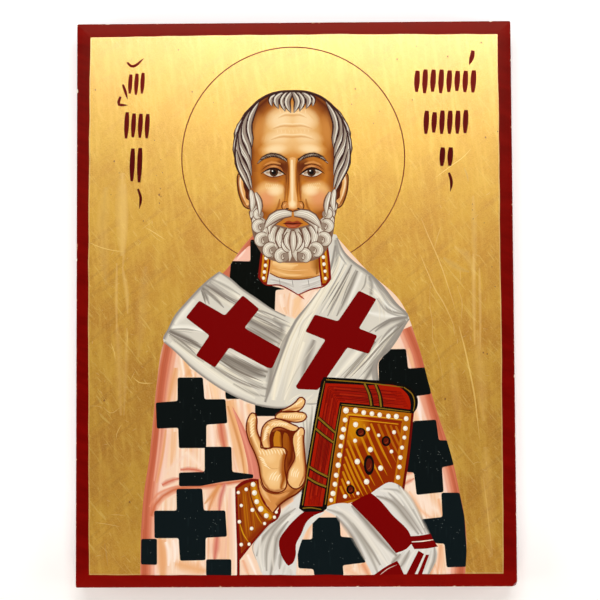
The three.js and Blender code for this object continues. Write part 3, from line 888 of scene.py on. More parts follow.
def book_cover():
    cover_face = [(25, -56.4, 1), (64, -60.8, 1), (62, -82), (58.4, -104, 1), (38, -108), (16.6, -113.8, 1),
                  (19.6, -88)]
    area(cover_face, (174, 98, 6))
    fan([(26, -59), (45, -61), (62, -63)], [(26, -62), (45, -64), (62, -66.5)], 5, 1.2,
        [(200, 130, 14), (160, 80, 6)], 0.8)
    fan([(26, -60), (22, -84), (18, -112)], [(30, -62), (25.5, -86), (22, -110)], 6, 1.2,
        [(200, 130, 14), (152, 70, 6)], 0.8)
    area([(63.6, -61, 1), (65, -61, 1), (62.4, -84), (59.2, -104.4, 1), (58, -103, 1), (61.2, -82)],
         (104, 10, 2))
    fan([(60.4, -67), (57.8, -84), (55.4, -102)], [(57.6, -67), (55.4, -84), (53, -101)], 4, 1.2,
        [(206, 128, 14), (160, 70, 6)], 0.8)
    inner = [(29.8, -63.2, 1), (58.2, -66.4, 1), (56, -84), (53.4, -101, 1), (40, -106), (22.4, -110.6, 1),
             (25.6, -88)]
    area(inner, (142, 42, 0))
    glow((32.5, -69), (9, 12), (204, 134, 4), 1.0, turn=-12)
    for line, width, colour in COVER_LINES:
        mark(line, width, colour, tip=1, tail=1)
    runs = [min(32, (y + 108) * 1.05) for _, y in STREAKS_AT_SIDE]
    runs += [34 - k * 3.6 for k in range(len(STREAKS_AT_TOP))]
    for k, ((x, y), run) in enumerate(zip(STREAKS_AT_SIDE + STREAKS_AT_TOP, runs)):
        mark([(x, y), (x + 0.2 * run, y - 0.48 * run), (x + 0.42 * run, y - 0.92 * run)], 1.25,
             (200, 130, 10) if k < BRIGHT_STREAKS else (178, 98, 8), 0.95, tip=0.9, tail=0.1)
    for x, y, wide, high in GARNETS:
        dot((x, y), (wide, high), BOOK_BLACK, sides=18)
        dot((x + 0.1, y), (wide * 0.6, high * 0.66), (92, 22, 6), sides=16)
        mark([(x - wide * 0.3, y - high * 0.45), (x + wide * 0.25, y - high * 0.25),
              (x + wide * 0.38, y + high * 0.2)],
             0.45, (150, 60, 24), 0.9)
    for line in ([(27.8, -59.8), (60.7, -64.4)], [(27.3, -65), (19.4, -108.6)], [(60.2, -69.7), (56, -96.4)]):
        mark(line, 1.5, (158, 72, 8), 0.9, tip=0.8, tail=0.8)
    for x, y, radius in BINDING_PEARLS:
        pearl(x, y, radius)


def book_block():
    """The spine side and the page edges, with the straps over them."""
    ochre = (132, 100, 22)
    area(BOOK_OUTLINE, BOOK_BLACK)
    area(PAGE_EDGES, (162, 23, 0))
    outer = np.array([6.4 - 111j, 17.8 - 46j, 58 - 49.4j])
    inner = np.array([13.8 - 111.6j, 23.6 - 54.6j, 62.4 - 58.8j])
    for share, tone, width in PAGE_SHADES:
        bend = outer + (inner - outer) * share
        mark(bend, 0.5, (112, 6, 2), 0.8, tip=0.6, tail=0.6)
        for k in (0, 1):
            start = chance.uniform(0, 0.12)
            run = part_of(bend[k : k + 2], start, chance.uniform(0.84, 1), 8)
            haze(run, width, tone, 0.9, tip=0.9, tail=0.6)
            mark(part_of(run, chance.uniform(0, 0.5), chance.uniform(0.6, 1), 8), 0.35, (74, 2, 1), 0.8)
    for line in STRAPS:
        line = soft(line)
        mark(line + 0.5 - 0.5j, 2.0, BOOK_BLACK, tip=1, tail=1)
        mark(line - 0.5, 0.8, BOOK_BLACK, tip=1, tail=1)
        mark(line, 1.0, ochre, tip=1, tail=1)
    for line in BOOK_LINES:
        mark(line, 0.6, ochre, tip=0.8, tail=0.6)


# The cloth that falls over the arm, below the book.
DRAPE_WHITES = [
    [(3, -104), (-3, -110), (-10, -119), (-17, -125), (-23, -134), (-21, -142), (-18, FOOT, 1), (0, FOOT, 1),
     (1, -138), (6, -125), (16, -115, 1), (3, -113.6, 1)],
    [(15.6, -113.4), (22, -110.6), (29, -110.6), (38, -119), (50, -132), (57, -140.6), (60, FOOT, 1),
     (42, FOOT, 1), (37.4, -141), (29.4, -126), (22, -117.4)],
    [(41, -105, 1), (46, -101.6), (51, -99), (56, -100.4), (60, -105), (66, -115), (73.5, -128, 1),
     (62, -128.6, 1), (44, -107.6)],
    [(53, -136, 1), (63.4, -130, 1), (76, -132.6, 1), (77, -137), (72.4, FOOT, 1), (46, FOOT, 1)],
]
DRAPE_FANS = [
    ([(1, -112), (-9, -121), (-15, -134), (-16, MARK_FOOT)],
     [(-4, -112), (-15, -124), (-21, -134), (-19, MARK_FOOT)], 9),
    ([(4, -113.5), (-7, -122), (-11, -134), (-12, MARK_FOOT)],
     [(1, -112), (-9, -121), (-15, -134), (-16, MARK_FOOT)], 6),
    ([(-8, -143), (-10, MARK_FOOT)], [(-1, -144), (-2, MARK_FOOT)], 4),
    ([(17, -113.4), (26, -119), (38, -134), (46, MARK_FOOT)],
     [(26, -111.4), (36, -120), (48, -134), (56, -146)], 12),
    ([(45, -105), (52, -112), (64, -128)], [(54, -101), (62, -111), (72, -127)], 10),
    ([(56, -137), (50, -143), (47, MARK_FOOT)], [(66, -135), (62, -141), (59, MARK_FOOT)], 6),
    ([(68, -135), (66, -140), (62, MARK_FOOT)], [(76, -134), (75, -139), (71, MARK_FOOT)], 6),
]
DRAPE_FOLDS = [
    ([(0, -113), (-11, -121), (-19, -131), (-21.4, -139)], 1.4, (168, 160, 149)),
    ([(-3, -116), (-12, -125), (-16, -136), (-16, -147)], 1.5, (176, 169, 158)),
    ([(-4, -120), (-10, -128), (-12, -140), (-14, MARK_FOOT)], 1.8, (160, 152, 142)),
    ([(17, -113.6), (26, -116.6), (33, -126), (42, -142), (45, MARK_FOOT)], 1.6, (190, 184, 173)),
    ([(30.5, -111.6), (38, -120), (48, -132), (55, -139)], 2.2, (150, 141, 131)),
    ([(22, -117.2), (29.4, -126), (37.6, -141)], 1.6, (176, 168, 158)),
    ([(31, -121), (40, -134), (46, -144)], 1.2, (170, 163, 152)),
    ([(44, -106.5), (52, -109), (60, -118), (67, -127.4)], 1.6, (158, 150, 140)),
    ([(50, -104), (58, -112), (69, -127.4)], 1.3, (176, 168, 158)),
    ([(48, -102.6), (56, -103.6), (64, -114), (71, -127)], 1.1, (196, 190, 178)),
    ([(56, -100.6), (61, -106.4), (67, -117), (73, -127.6)], 1.8, (160, 152, 143)),
    ([(57, -138), (52, -143)], 1.6, (164, 156, 146)),
    ([(62, -136), (59.6, -141), (57, -145)], 1.4, (170, 162, 152)),
    ([(75.4, -134), (75.8, -139), (71.8, MARK_FOOT)], 1.4, (166, 158, 148)),
    ([(56, -101.8), (64, -113.6)], 1.2, WOOL_LIGHT),
    ([(24, -113), (34, -122), (45, -138)], 2.2, WOOL_LIGHT),
]
DRAPE_LIGHTS = [
    ([(22, -112), (32, -119), (43, -134), (52, -147)], 4.6, (236, 230, 218), 0.9),
    ([(57, -101.4), (63, -110), (70, -124)], 3.0, (240, 236, 226), 0.9),
    ([(46, -103.6), (53, -104.6), (59, -112)], 2.6, (236, 231, 220), 0.9),
    ([(-1, -108), (-10, -118), (-18, -127)], 3.6, (226, 221, 210), 0.9),
    ([(-19, -128), (-20, -138), (-18, -147)], 3.0, (234, 229, 218), 0.9),
    ([(-12, -128), (-13, -138), (-12, -147)], 2.6, (222, 216, 204), 0.9),
    ([(-8, -136), (-9, -146)], 3.4, (150, 142, 131), 0.9),
    ([(-3, -146), (-2.6, MARK_FOOT)], 3.0, (206, 199, 187), 0.8),
]
DRAPE_REDS = [
    [(4.6, -115), (15.6, -114.8, 1), (10, -117), (6.6, -119.6), (3, -127), (0, -133), (0, -138), (-2, -143),
     (-4, -144.2), (-6, -142), (-9, -135), (-9.2, -131), (-5, -124), (0, -118.6)],
    [(30, -110.4, 1), (36, -107), (41, -104.8, 1), (44, -107), (53, -117), (62.4, -127.6), (63.4, -132, 1),
     (60, -135.4), (54.5, -137.5, 1), (45, -126)],
    [(61, -128.4, 1), (67, -128.1), (73.4, -127, 1), (74.7, -130.1, 1), (69, -130.8), (62.6, -131.3, 1)],
    [(62.4, -131.7, 1), (69, -131.4), (75, -130.5, 1), (77.4, -134, 1), (72, -135), (64.6, -135.4, 1)],
    [(42, FOOT, 1), (50, -144.2), (55.2, -141.6, 1), (56.6, -144, 1), (59, FOOT, 1)],
    [(66.8, -136.2, 1), (69.8, -138, 1), (64.4, FOOT, 1), (59.8, FOOT, 1)],
    [(70.8, -138.4, 1), (72.6, -138.4, 1), (68.4, FOOT, 1), (66, FOOT, 1)],
]


def drape():
    for outline in DRAPE_WHITES:
        area(outline, (222, 218, 210))
    for one, other, count in DRAPE_FANS:
        fan(one, other, count, 2.2, [(240, 235, 223), (228, 222, 210), (210, 203, 191), (190, 183, 171)], 0.6)
    for points, width, colour in DRAPE_FOLDS:
        haze(points, width * 2.3, mix(colour, (120, 112, 102), 0.3), 0.95, tip=0.3, tail=0.4)
    for points, width, tone, cover in DRAPE_LIGHTS:
        haze(points, width, tone, cover, tip=0.4, tail=0.3)
    for outline in DRAPE_REDS:
        area(outline, RED)
    mark([(45.6, MARK_FOOT), (50, -146), (55.4, -143.6)], 0.45, (226, 200, 186), 0.9)
    mark([(63, -131.5), (69, -131.2), (74.6, -130.2)], 0.35, WOOL_LIGHT, 1)
    mark([(-21.6, -141), (-23.6, -134), (-17.4, -125.4), (-11, -119.4)], 0.6, (176, 168, 158), 0.9)


# The sleeve's cuff, with its band of pearls.
CUFF = [
    (-33, -101.4, 1), (-30, -98.8), (-24, -96.8), (-19.4, -97.2, 1), (-20, -101), (-18, -106), (-14, -113),
    (-10, -114.4), (-8.5, -110, 1), (-8.1, -115), (-10, -119), (-14, -121.6), (-20, -128),
    (-30.9, -141.4, 1), (-31.9, -120),
]
CUFF_GOLD = [
    (-31.9, -102.3, 1), (-27, -99.4), (-21, -97.9, 1), (-20.8, -103), (-18.6, -108), (-14.4, -115),
    (-10.9, -116.4), (-11.2, -118.4), (-14.6, -120), (-20, -126), (-29.8, -137.4, 1), (-31.2, -120),
]
CUFF_PEARLS = [
    (-23.2, -99.9, 1.3), (-22.5, -104.5, 1.4), (-21.3, -109.3, 1.3), (-19.1, -113.3, 1.5), (-16.1, -117, 1.3),
    (-11.6, -117.8, 0.9), (-10.6, -115, 0.9), (-31.3, -104.3, 0.9), (-27, -102.6, 1), (-29.7, -111.4, 0.9),
    (-23.6, -113.8, 1.1), (-30.8, -120.2, 1), (-24.1, -123.9, 1), (-17, -121.2, 0.9), (-29.8, -132.6, 1),
    (-25.5, -132.4, 0.9),
]


def cuff():
    mark([(-32.7, -101.8), (-31.9, -120), (-31.4, -138), (-31.4, FOOT)], 1.5, (112, 8, 6), tip=0.5, tail=1)
    area(CUFF, (118, 14, 6))
    area(CUFF_GOLD, (150, 66, 8))
    fan([(-31, -104), (-30.6, -120), (-29, -136)], [(-25, -101), (-22.6, -112), (-21, -126)], 12, 1.2,
        [(190, 118, 12), (138, 50, 8), (164, 82, 10), (116, 34, 6)], 0.9)
    haze([(-14, -119.6), (-21.6, -126.4), (-29.6, -136)], 4.4, (134, 38, 6), 0.9, tip=0.6, tail=0.6)
    haze([(-22.8, -100), (-20.6, -110), (-13.4, -118.4)], 5.4, (214, 152, 20), 1.0, tip=0.9, tail=0.8)
    fan([(-24.4, -100.4), (-22, -112), (-14, -119.6)], [(-21, -100), (-18.4, -109), (-11.4, -117)], 5, 1.2,
        [(214, 150, 18), (196, 122, 14)], 0.9)
    mark([(-25.2, -100.6), (-24.4, -107), (-21.6, -113.4), (-17, -119.6)], 0.6, (96, 24, 6), tip=0.8,
         tail=0.5)
    mark([(-30.4, -121.4), (-28.6, -127), (-25.2, -132)], 0.7, (206, 146, 20))
    mark([(-22.6, -114), (-20, -119), (-18, -122)], 0.6, (206, 146, 20))
    for x, y, radius in CUFF_PEARLS:
        pearl(x, y, radius)


# The blessing hand.
SKIN = (238, 187, 120)
SKIN_LINE = (102, 26, 6)
WRIST = [
    (-20.2, -97, 1), (-19.6, -103), (-16.6, -109.5), (-12.4, -115.6, 1), (-8.9, -111.2), (-4, -107.6),
    (1, -104.6), (4.6, -100.4), (5.6, -96, 1), (0, -94), (-12, -95),
]
PALM = [
    (-23.6, -60.8), (-25.8, -63.6), (-26.9, -69), (-25.2, -76.6), (-22.2, -83), (-20, -90), (-18.9, -97),
    (-17, -101.6), (-13, -104.1), (-9, -104.3), (-5.5, -102.5), (-4.8, -98), (-5.8, -92), (-5.6, -86),
    (-4.6, -82), (-6, -80, 1), (-12, -79.6), (-17.2, -81, 1), (-19, -76), (-21.1, -70), (-21, -64),
    (-21.8, -61.4),
]
BENT_FINGER = [
    (-18.9, -80, 1), (-18.8, -73), (-17.8, -68.5), (-15, -65.5), (-11, -64.1), (-6, -65.2), (-1, -67.5),
    (1.8, -69), (1, -70.8), (-1, -71.2), (-5, -70.1), (-8.6, -68.7), (-12, -69.5), (-13.6, -72.6),
    (-13.4, -80.4, 1),
]
HOLLOW = [
    (-14, -80.4, 1), (-13.6, -71), (-9, -67.6), (-3, -69.6), (2.4, -70, 1), (1, -74), (-0.2, -78), (0.6, -85),
    (-1.8, -89.8), (-3.4, -97), (-6.4, -92), (-6, -84), (-6.3, -80.2, 1),
]
THUMB = [
    (1.1, -70.6), (2.5, -68.8), (4.1, -69), (4.5, -76), (5.3, -86), (5.6, -95), (4.4, -99.6), (1, -102.5),
    (-2.5, -101.6), (-4.7, -97.5), (-4.2, -93), (-2, -89), (-0.4, -86), (-0.9, -81), (-1.6, -75.5),
    (-0.6, -72),
]
FINGERS = [
    [(-8.4, -60.2), (-3, -57.4), (0.5, -54.8), (2.5, -52.5), (4.4, -52.5), (5.7, -54.6), (4.7, -57.2),
     (2, -59.8), (-3, -60.5)],
    [(-11.2, -63.4), (-9.4, -61), (-5, -60.1), (2, -60.5), (5.5, -61.3), (6.5, -62.8), (5.3, -64.9),
     (1.5, -66.1), (-2, -65.9), (-6, -64.9)],
]
HAND_SHADES = [
    ([(-26, -66), (-25.6, -72), (-23, -80), (-20, -88), (-18, -98), (-14, -103)], 2.6, (176, 100, 42), 0.7),
    ([(-21.4, -64), (-21.6, -70), (-19.4, -76), (-17.6, -80)], 1.8, (176, 96, 38), 0.75),
    ([(-6, -83), (-7.4, -90), (-7, -98), (-8, -102)], 3.4, (188, 112, 40), 0.85),
    ([(-17, -102), (-11, -103.8), (-6, -102)], 2.0, (186, 112, 56), 0.7),
    ([(-18.4, -79), (-18, -72), (-14.6, -66.4), (-9, -64.8)], 1.4, (190, 114, 52), 0.7),
    ([(-12.6, -71), (-8.6, -69.2), (-3, -70.6)], 1.8, (184, 106, 44), 0.8),
    ([(-15, -72), (-14.2, -80)], 2.2, (192, 116, 50), 0.7),
    ([(4, -73), (4.6, -84), (5, -95), (2, -101)], 2.0, (184, 104, 44), 0.8),
    ([(-0.8, -82), (-0.6, -87), (-3.8, -92), (-4.2, -97)], 1.8, (180, 100, 44), 0.8),
]
HAND_LIGHTS = [
    ([(-23.6, -62.4), (-24.2, -68), (-22.6, -75), (-19.4, -82)], 2.2, 0.8),
    ([(-15, -66.8), (-11, -65.6), (-7, -66.6), (-1.4, -69.2)], 1.6, 0.8),
    ([(-16.6, -69), (-17, -77)], 1.8, 0.7),
    ([(1.6, -71), (1.8, -80), (2.4, -88)], 2.0, 0.8),
    ([(-4, -58.6), (1, -55.6), (3.4, -53.6)], 1.6, 0.8),
    ([(-7, -62.4), (0, -61.8), (5, -62.6)], 1.8, 0.8),
]
# Start, end, reach of each stroke, how many, and their width.
HAND_HATCHES = [
    ((-21, -81), (-6, -80.6), (1.6, -3.6), 9, 0.6), ((-20.6, -84), (-17, -90), (3.6, -2.4), 4, 0.7),
    ((-15, -97.4), (-9.6, -98.4), (2.6, 4.6), 4, 0.65), ((-3, -95.6), (1.4, -96.6), (1.8, 5.0), 4, 0.6),
    ((0.6, -86), (1, -76), (2.2, 3.4), 5, 0.65), ((0.6, -74), (1.4, -71), (1.8, 1.4), 3, 0.6),
    ((-24.6, -75), (-24.8, -65), (2.4, 2.4), 6, 0.7), ((-18, -77), (-16, -69), (2.6, 2.2), 6, 0.7),
    ((-14, -68), (-5, -68), (2.4, 1.6), 6, 0.7), ((-7, -64), (4.6, -63.6), (0.8, 2.0), 9, 0.6),
    ((0, -57.4), (3.6, -55), (1.0, 1.8), 4, 0.6),
]


def hatch(start, end, reach, count, colour, width, cover=0.85):
    """Short parallel strokes of light, set across the way from start to end."""
    start, end, reach = complex(*start), complex(*end), complex(*reach)
    for k in range(count):
        root = start + (end - start) * (k + 0.5) / count
        long = reach * chance.uniform(0.75, 1.15)
        bow = long * 0.5 + 1j * long * 0.08
        mark(np.array([root, root + bow, root + long]), width, colour, cover)


def hand():
    area([(-8, -108, 1), (-1.4, -104, 1), (-1.2, -109.2, 1), (-4.4, -111.2), (-7.6, -113.6, 1)],
         (247, 204, 168))
    area(WRIST, (212, 142, 74))
    haze([(-10, -112), (-3, -106), (4, -98)], 7, (142, 70, 22), 0.9, tip=0.7, tail=0.7)
    haze([(-18.6, -98), (-17.4, -104), (-13.6, -109.6)], 3.2, (240, 194, 134), 0.9)
    haze([(-13, -106), (-8, -106.6), (-3, -104)], 3.0, (226, 164, 98), 0.7)
    for outline in FINGERS:
        area(outline, SKIN, step=1.1)
    haze([(-6, -60), (0, -58.6), (4, -57.6)], 2.0, (178, 98, 40), 0.8)
    haze([(-9, -63.6), (-3, -65), (4, -64.4)], 1.8, (178, 98, 40), 0.75)
    area(HOLLOW, (104, 30, 4), step=1.1)
    area([(-11.7, -80.2, 1), (-11.8, -74), (-10.2, -70.6), (-8.4, -71.4), (-7.8, -75), (-7.6, -80.2, 1)],
         (196, 122, 26))
    haze([(-8.2, -72), (-8, -80)], 1.6, (140, 66, 8), 0.9)
    area([(-6.6, -80.2, 1), (-6.8, -75), (-5.8, -71.6), (-4.4, -72.4), (-3.4, -76), (-3.8, -82, 1)],
         (160, 84, 16))
    haze([(-4, -74), (-3.4, -80), (-3.6, -88)], 3.2, (146, 66, 8), 0.9)
    area(BENT_FINGER, SKIN, step=1.1)
    area(PALM, SKIN, step=1.2)
    area(THUMB, SKIN, step=1.2)
    for points, width, colour, cover in HAND_SHADES:
        haze(points, width * SPREAD, mix(colour, SKIN_LINE, 0.2), min(1, cover * 1.2), tip=0.6, tail=0.4)
    haze([(-5.4, -81.4), (-5.8, -88), (-6, -96), (-8, -102.4)], 4.6, (158, 78, 16), 1.0, tip=0.9, tail=0.5)
    for points, width, cover in HAND_LIGHTS:
        haze(points, width, (252, 220, 168), cover)
    glow((-11.8, -96.6), (4.8, 5.4), (250, 214, 158), 0.6)
    glow((-0.6, -94.6), (3.4, 5.6), (250, 214, 158), 0.6, turn=-14)
    glow((-14, -85), (4.4, 4.2), (248, 208, 150), 0.7)
    for start, end, reach, count, width in HAND_HATCHES:
        hatch(start, end, reach, count, (254, 232, 190), width)
    for outline in FINGERS + [BENT_FINGER, PALM, THUMB]:
        line = soft(outline, closed=True)
        mark(np.append(line, line[0]), 0.8, SKIN_LINE, 0.95, tip=1, tail=1)
    mark([(-19.4, -98), (-17.4, -102.4), (-13, -104.8), (-8, -104.9), (-4, -103)], 0.8, (120, 44, 12), 0.9)
    mark([(-12.4, -115.6), (-8.9, -111.2), (-4, -107.6), (1, -104.8), (4.8, -100.2), (5.8, -95)], 1.0,
         SKIN_LINE, 0.95, tip=0.8, tail=0.6)
    mark([(-15.8, -89.6), (-12, -91.6), (-8.4, -90.8)], 0.35, (206, 140, 76), 0.7)


# The collar, with its pearled bands, and the neck inside it.
NECK = [
    (-14, 32, 1), (-14.4, 22), (-13.6, 15.6, 1), (-8, 13), (0, 12), (8, 12.6), (13.6, 14.2, 1), (14, 22),
    (14, 32, 1),
]
UNDER_COLLAR = [
    (-14.8, 15.8, 1), (-8, 13), (0, 12), (8, 12.6), (14.8, 14.6, 1), (15.4, 9, 1), (9, 6.6), (2, 3.6, 1),
    (-3, 6.6), (-7, 9), (-15.2, 10, 1),
]
COLLAR_BANDS = [
    [(-17.6, 33, 1), (-13, 32, 1), (-13.2, 22), (-15.2, 9.6, 1), (-17, 10, 1), (-20.2, 13.8, 1), (-19, 24)],
    [(18.2, 33, 1), (13.2, 32, 1), (13.2, 22), (14.6, 8.6, 1), (17.4, 9.2, 1), (20.2, 12.8, 1), (19.4, 24)],
]
COLLAR_GOLD = [
    [(-16.8, 32, 1), (-14, 31, 1), (-14.2, 22), (-15.8, 10.9, 1), (-17, 11, 1), (-18.8, 13.8, 1),
     (-17.8, 24)],
    [(17.2, 32, 1), (14.2, 31, 1), (14.2, 22), (15.4, 10, 1), (17, 10.2, 1), (18.8, 13.2, 1), (18.2, 24)],
]
COLLAR_PEARLS = [
    (-15.4, 27.8, 1), (-15.7, 24.2, 1), (-16, 20.2, 1), (-16.6, 16.6, 1), (-17.1, 13.2, 0.9),
    (15.8, 28.2, 0.9), (15.9, 24.6, 1), (16.2, 20.7, 1), (16.8, 16.8, 0.9), (17, 12.8, 0.9),
]


def collar():
    area(NECK, (222, 160, 88))
    haze([(-12, 22), (-4, 20), (2, 20.4)], 8, (246, 204, 140), 0.95)
    haze([(-12.6, 17.6), (-4, 15), (4, 14.8)], 3.6, (240, 194, 128), 0.9)
    haze([(13, 26), (12.4, 20), (12, 15)], 9, (146, 82, 14), 0.95)
    haze([(-12, 28), (0, 23.6), (13, 26)], 7, (122, 58, 14), 0.95)
    haze([(-8, 13.8), (2, 12.8), (12, 14.4)], 2.0, (160, 92, 26), 0.85)
    fan([(-12.4, 20.4), (-4, 18.4), (8, 18.4)], [(-12.6, 17), (-4, 14.6), (8, 14.6)], 6, 0.5,
        [(252, 220, 168), (206, 140, 66)], 0.8, loose=0.3)
    mark([(-13.8, 16), (-8, 13.2), (0, 12.2), (8, 12.8), (13.8, 14.4)], 0.7, (112, 44, 10), tip=0.7, tail=0.7)
    area(UNDER_COLLAR, (214, 208, 198))
    linen = [(232, 228, 220), (182, 174, 164)]
    fan([(-14, 14), (-8, 12), (0, 10.6)], [(-14, 11), (-6, 9.4), (1, 5)], 6, 1.1, linen, 0.8)
    fan([(2, 10.6), (8, 11), (14.6, 13)], [(3, 5), (9, 7.4), (14.8, 10)], 6, 1.1, linen, 0.8)
    for x in (-8.4, -1.4, 7.4):
        mark([(x, 12.6), (x + 0.3, 10.4), (x + 0.7, 8)], 0.45, (150, 142, 132), 0.9)
    mark([(-19.6, 13.4), (-16.4, 9.8), (-8, 9.2), (-3, 6.8), (2, 3.8)], 0.8, (128, 22, 12), tip=0.8, tail=0.8)
    mark([(20, 12.6), (17, 9), (9, 6.8), (2, 3.8)], 0.8, (128, 22, 12), tip=0.8, tail=0.8)
    mark([(1.4, 4.4), (5.6, 1.2)], 0.9, (178, 56, 36))
    for outline in COLLAR_BANDS:
        area(outline, (126, 20, 8))
    for outline in COLLAR_GOLD:
        area(outline, (184, 104, 12))
    for side in (-1, 1):
        mark([(side * 14.5, 31), (side * 14.6, 22), (side * 15.9, 11.6)], 0.55, (216, 152, 30), tip=1,
             tail=0.7)
        mark([(side * 17, 31), (side * 17.3, 22), (side * 18, 13.8)], 0.6, (212, 146, 26), tip=1, tail=0.7)
        mark([(side * 15.8, 31), (side * 16, 22), (side * 17, 12.4)], 1.3, (132, 44, 8), 0.9, tip=1, tail=0.8)
    for x, y, radius in COLLAR_PEARLS:
        pearl(x, y, radius)


# The head, drawn about its own middle line from plain proportions: eyes half way down the skull, the nose
# half way from the eyes to the chin, the mouth a third of the way below that, and five eye widths across.
MIDDLE = -0.8
CROWN, CHIN = 115.4, 28.0
EYE_LINE = (CROWN + CHIN) / 2
NOSE_BASE = (EYE_LINE + CHIN) / 2 + 0.6
MOUTH_LINE = NOSE_BASE - (NOSE_BASE - CHIN) / 3 + 0.4
EYE = 10.4  # the width of one eye
FLESH = (226, 164, 92)
FLESH_OCHRE = (196, 120, 38)
FLESH_DARK = (146, 76, 22)
FLESH_DEEP = (92, 36, 10)
FLESH_LIGHT = (243, 198, 134)
GLINT = (254, 228, 182)
HAIR_LINE = (50, 22, 22)
HAIR_BODY = (152, 135, 120)
HAIR_TONES = [(232, 224, 208), (206, 195, 176), (164, 148, 131), (104, 80, 72)]
BEARD_BODY = (190, 176, 156)
BEARD_TONES = [(244, 238, 223), (228, 219, 201), (204, 191, 172), (166, 148, 130)]
BEARD_LINE = (104, 70, 54)


def across_face(points, side=1):
    """Points given across from the head's middle line, on its right (1) or left (-1)."""
    return [(MIDDLE + side * p[0], *p[1:]) for p in points]


def spot_on_face(x, y, side=1):
    return across_face([(x, y)], side)[0]


def both_sides(top, half, bottom):
    """A closed outline that is the same on both sides of the head."""
    return across_face([(0, top)] + half + [(0, bottom)]) + across_face(half[::-1], -1)


def strands(line, half, count, tones, light):
    """Hairs along a line, spread over half its width to each side, palest where the light falls across it."""
    for k in range(count):
        share = 1 - 2 * (k + 0.5) / count
        depth = min(3, int(abs(share - light) * 2.6))
        start, end = chance.uniform(0, 0.08), 1 - chance.uniform(0.02, 0.14)
        strand = part_of(line + half * share * 0.9, start, end, 9)
        mark(strand, np.abs(half).max() * 2 / count * 0.62, tones[depth], 0.92, tip=0.3, tail=0.1)


def lock(points, width, count, light, root=0.35, tip=0.06, tones=HAIR_TONES):
    """A lock of hair: a dark edge, a grey body, a shade along its far side, and strands that follow it."""
    line = even(soft(points), 14)
    line = line + across(line) * np.sin(np.linspace(0, np.pi, 14)) * chance.uniform(-0.45, 0.45)
    body, rim = (BEARD_BODY, BEARD_LINE) if tones is BEARD_TONES else (HAIR_BODY, HAIR_LINE)
    half = across(line) * pressed(len(line), root, tip) * width / 2
    mark(line, width + 1.5, rim, 0.95, tip=root + 0.1, tail=tip)
    mark(line, width, body, tip=root, tail=tip)
    haze(line - half * 0.75 * np.sign(light), width * 0.4, mix(body, rim, 0.5), 0.9, tip=0.3, tail=0.1)
    strands(line, half, count, tones, light)


def arc(middle, radius, start, turn, width, count):
    """A fat bowed tuft about a middle, pale on its outside and shaded towards the inside."""
    t = np.linspace(0, 1, 12)
    out = np.exp(1j * np.radians(start + turn * t))
    spine = middle + out * radius * (1 - 0.16 * t)
    half = out * width / 2 * np.sin(np.pi * np.clip(0.1 + t * 0.88, 0, 1)) ** 0.6
    rim = out * 0.4
    for wide, colour, cover in ((half + rim, BEARD_LINE, 0.95), (half, BEARD_BODY, 1.0)):
        picture.lay(np.concatenate([spine + wide, (spine - wide)[::-1]]), colour, cover)
    haze(spine - half * 0.7, width * 0.44, (158, 138, 120), 0.9, tip=0.3, tail=0.2)
    strands(spine, half, count, BEARD_TONES, 0.35)


def curl(middle, radius, start, turn, width):
    """A rounded curl that rolls in on itself."""
    dot(middle, radius, (150, 130, 112), sides=16)
    arc(complex(*middle), radius * 0.34, start + 40 * np.sign(turn), turn, width * 0.62, 2)
    arc(complex(*middle), radius, start, turn, width, 4)


def ear(side):
    def at(*points):
        return across_face(points, side)

    outline = at((24, 71), (27.4, 73.6), (30, 71), (30.4, 64), (28.8, 57), (26.2, 52.4), (23.4, 51.4),
                 (22.8, 60))
    area(outline, FLESH)
    haze(at((29.6, 70), (29.8, 63), (27.4, 55.6), (24.6, 52.2)), 3, FLESH_DARK, 0.9, tip=0.5, tail=0.5)
    haze(at((26, 72.2), (28.6, 69.6), (28.4, 62), (26, 55)), 1.8, GLINT, 0.95, tip=0.5)
    hollow = at((24.8, 69.4), (26.8, 68.6), (27.3, 64.6), (26.2, 60.8), (25.8, 57.4), (24.2, 56.2),
                (23.8, 63))
    area(hollow, FLESH_DEEP, step=1.1)
    area(at((24.6, 67), (26, 66.4), (25.8, 62), (24.4, 60)), (58, 20, 8), step=1.1)
    haze(at((24.6, 54.6), (25.8, 54)), 2.4, FLESH_LIGHT, 0.9, tip=0.6, tail=0.6)
    line = soft(outline, closed=True)
    mark(np.append(line, line[0]), 0.8, (84, 30, 8), 0.95, tip=1, tail=1)


# One side of the hair's outline and of the bare skin inside it, from the crown down.
DOME = [(9, 116.3), (17, 113), (24, 106.6), (28.8, 98), (31.4, 88), (31.6, 79), (29.4, 71), (25.4, 64),
        (22, 58)]
SKIN_EDGE = [
    (8.6, 115.4), (16.6, 112), (22.8, 104.6), (25.2, 94), (25.4, 82), (24.6, 70), (22.8, 58), (20, 48),
    (14, 36), (6, 29),
]
# The shaded sides, deepest at the crown and under the hair. The last two are lighter on the head's left.
SKULL_SHADES = [
    ([(8, 112.4), (16.4, 107.4), (21.4, 98), (23, 86), (22.6, 72)], 14, FLESH_DARK, (0.95, 0.95)),
    ([(12, 114), (19.4, 107.6), (23.8, 97), (24.4, 84), (23.6, 68)], 8, FLESH_DEEP, (1.0, 1.0)),
    ([(22.6, 76), (22, 64), (19, 52)], 9, FLESH_DARK, (1.0, 1.0)),
    ([(18.6, 57), (15, 49), (12, 42)], 10, FLESH_DARK, (0.9 * 0.85, 0.9)),
    ([(20.6, 56), (17, 46)], 7, FLESH_DEEP, (0.9 * 0.85, 0.9)),
]


def skull():
    area(both_sides(117, DOME, 52), HAIR_LINE)
    area(both_sides(116, SKIN_EDGE, 27), FLESH_OCHRE)
    for k, side in enumerate((-1, 1)):
        for points, width, tone, covers in SKULL_SHADES:
            haze(across_face(points, side), width, tone, covers[k], tip=0.7, tail=0.6)


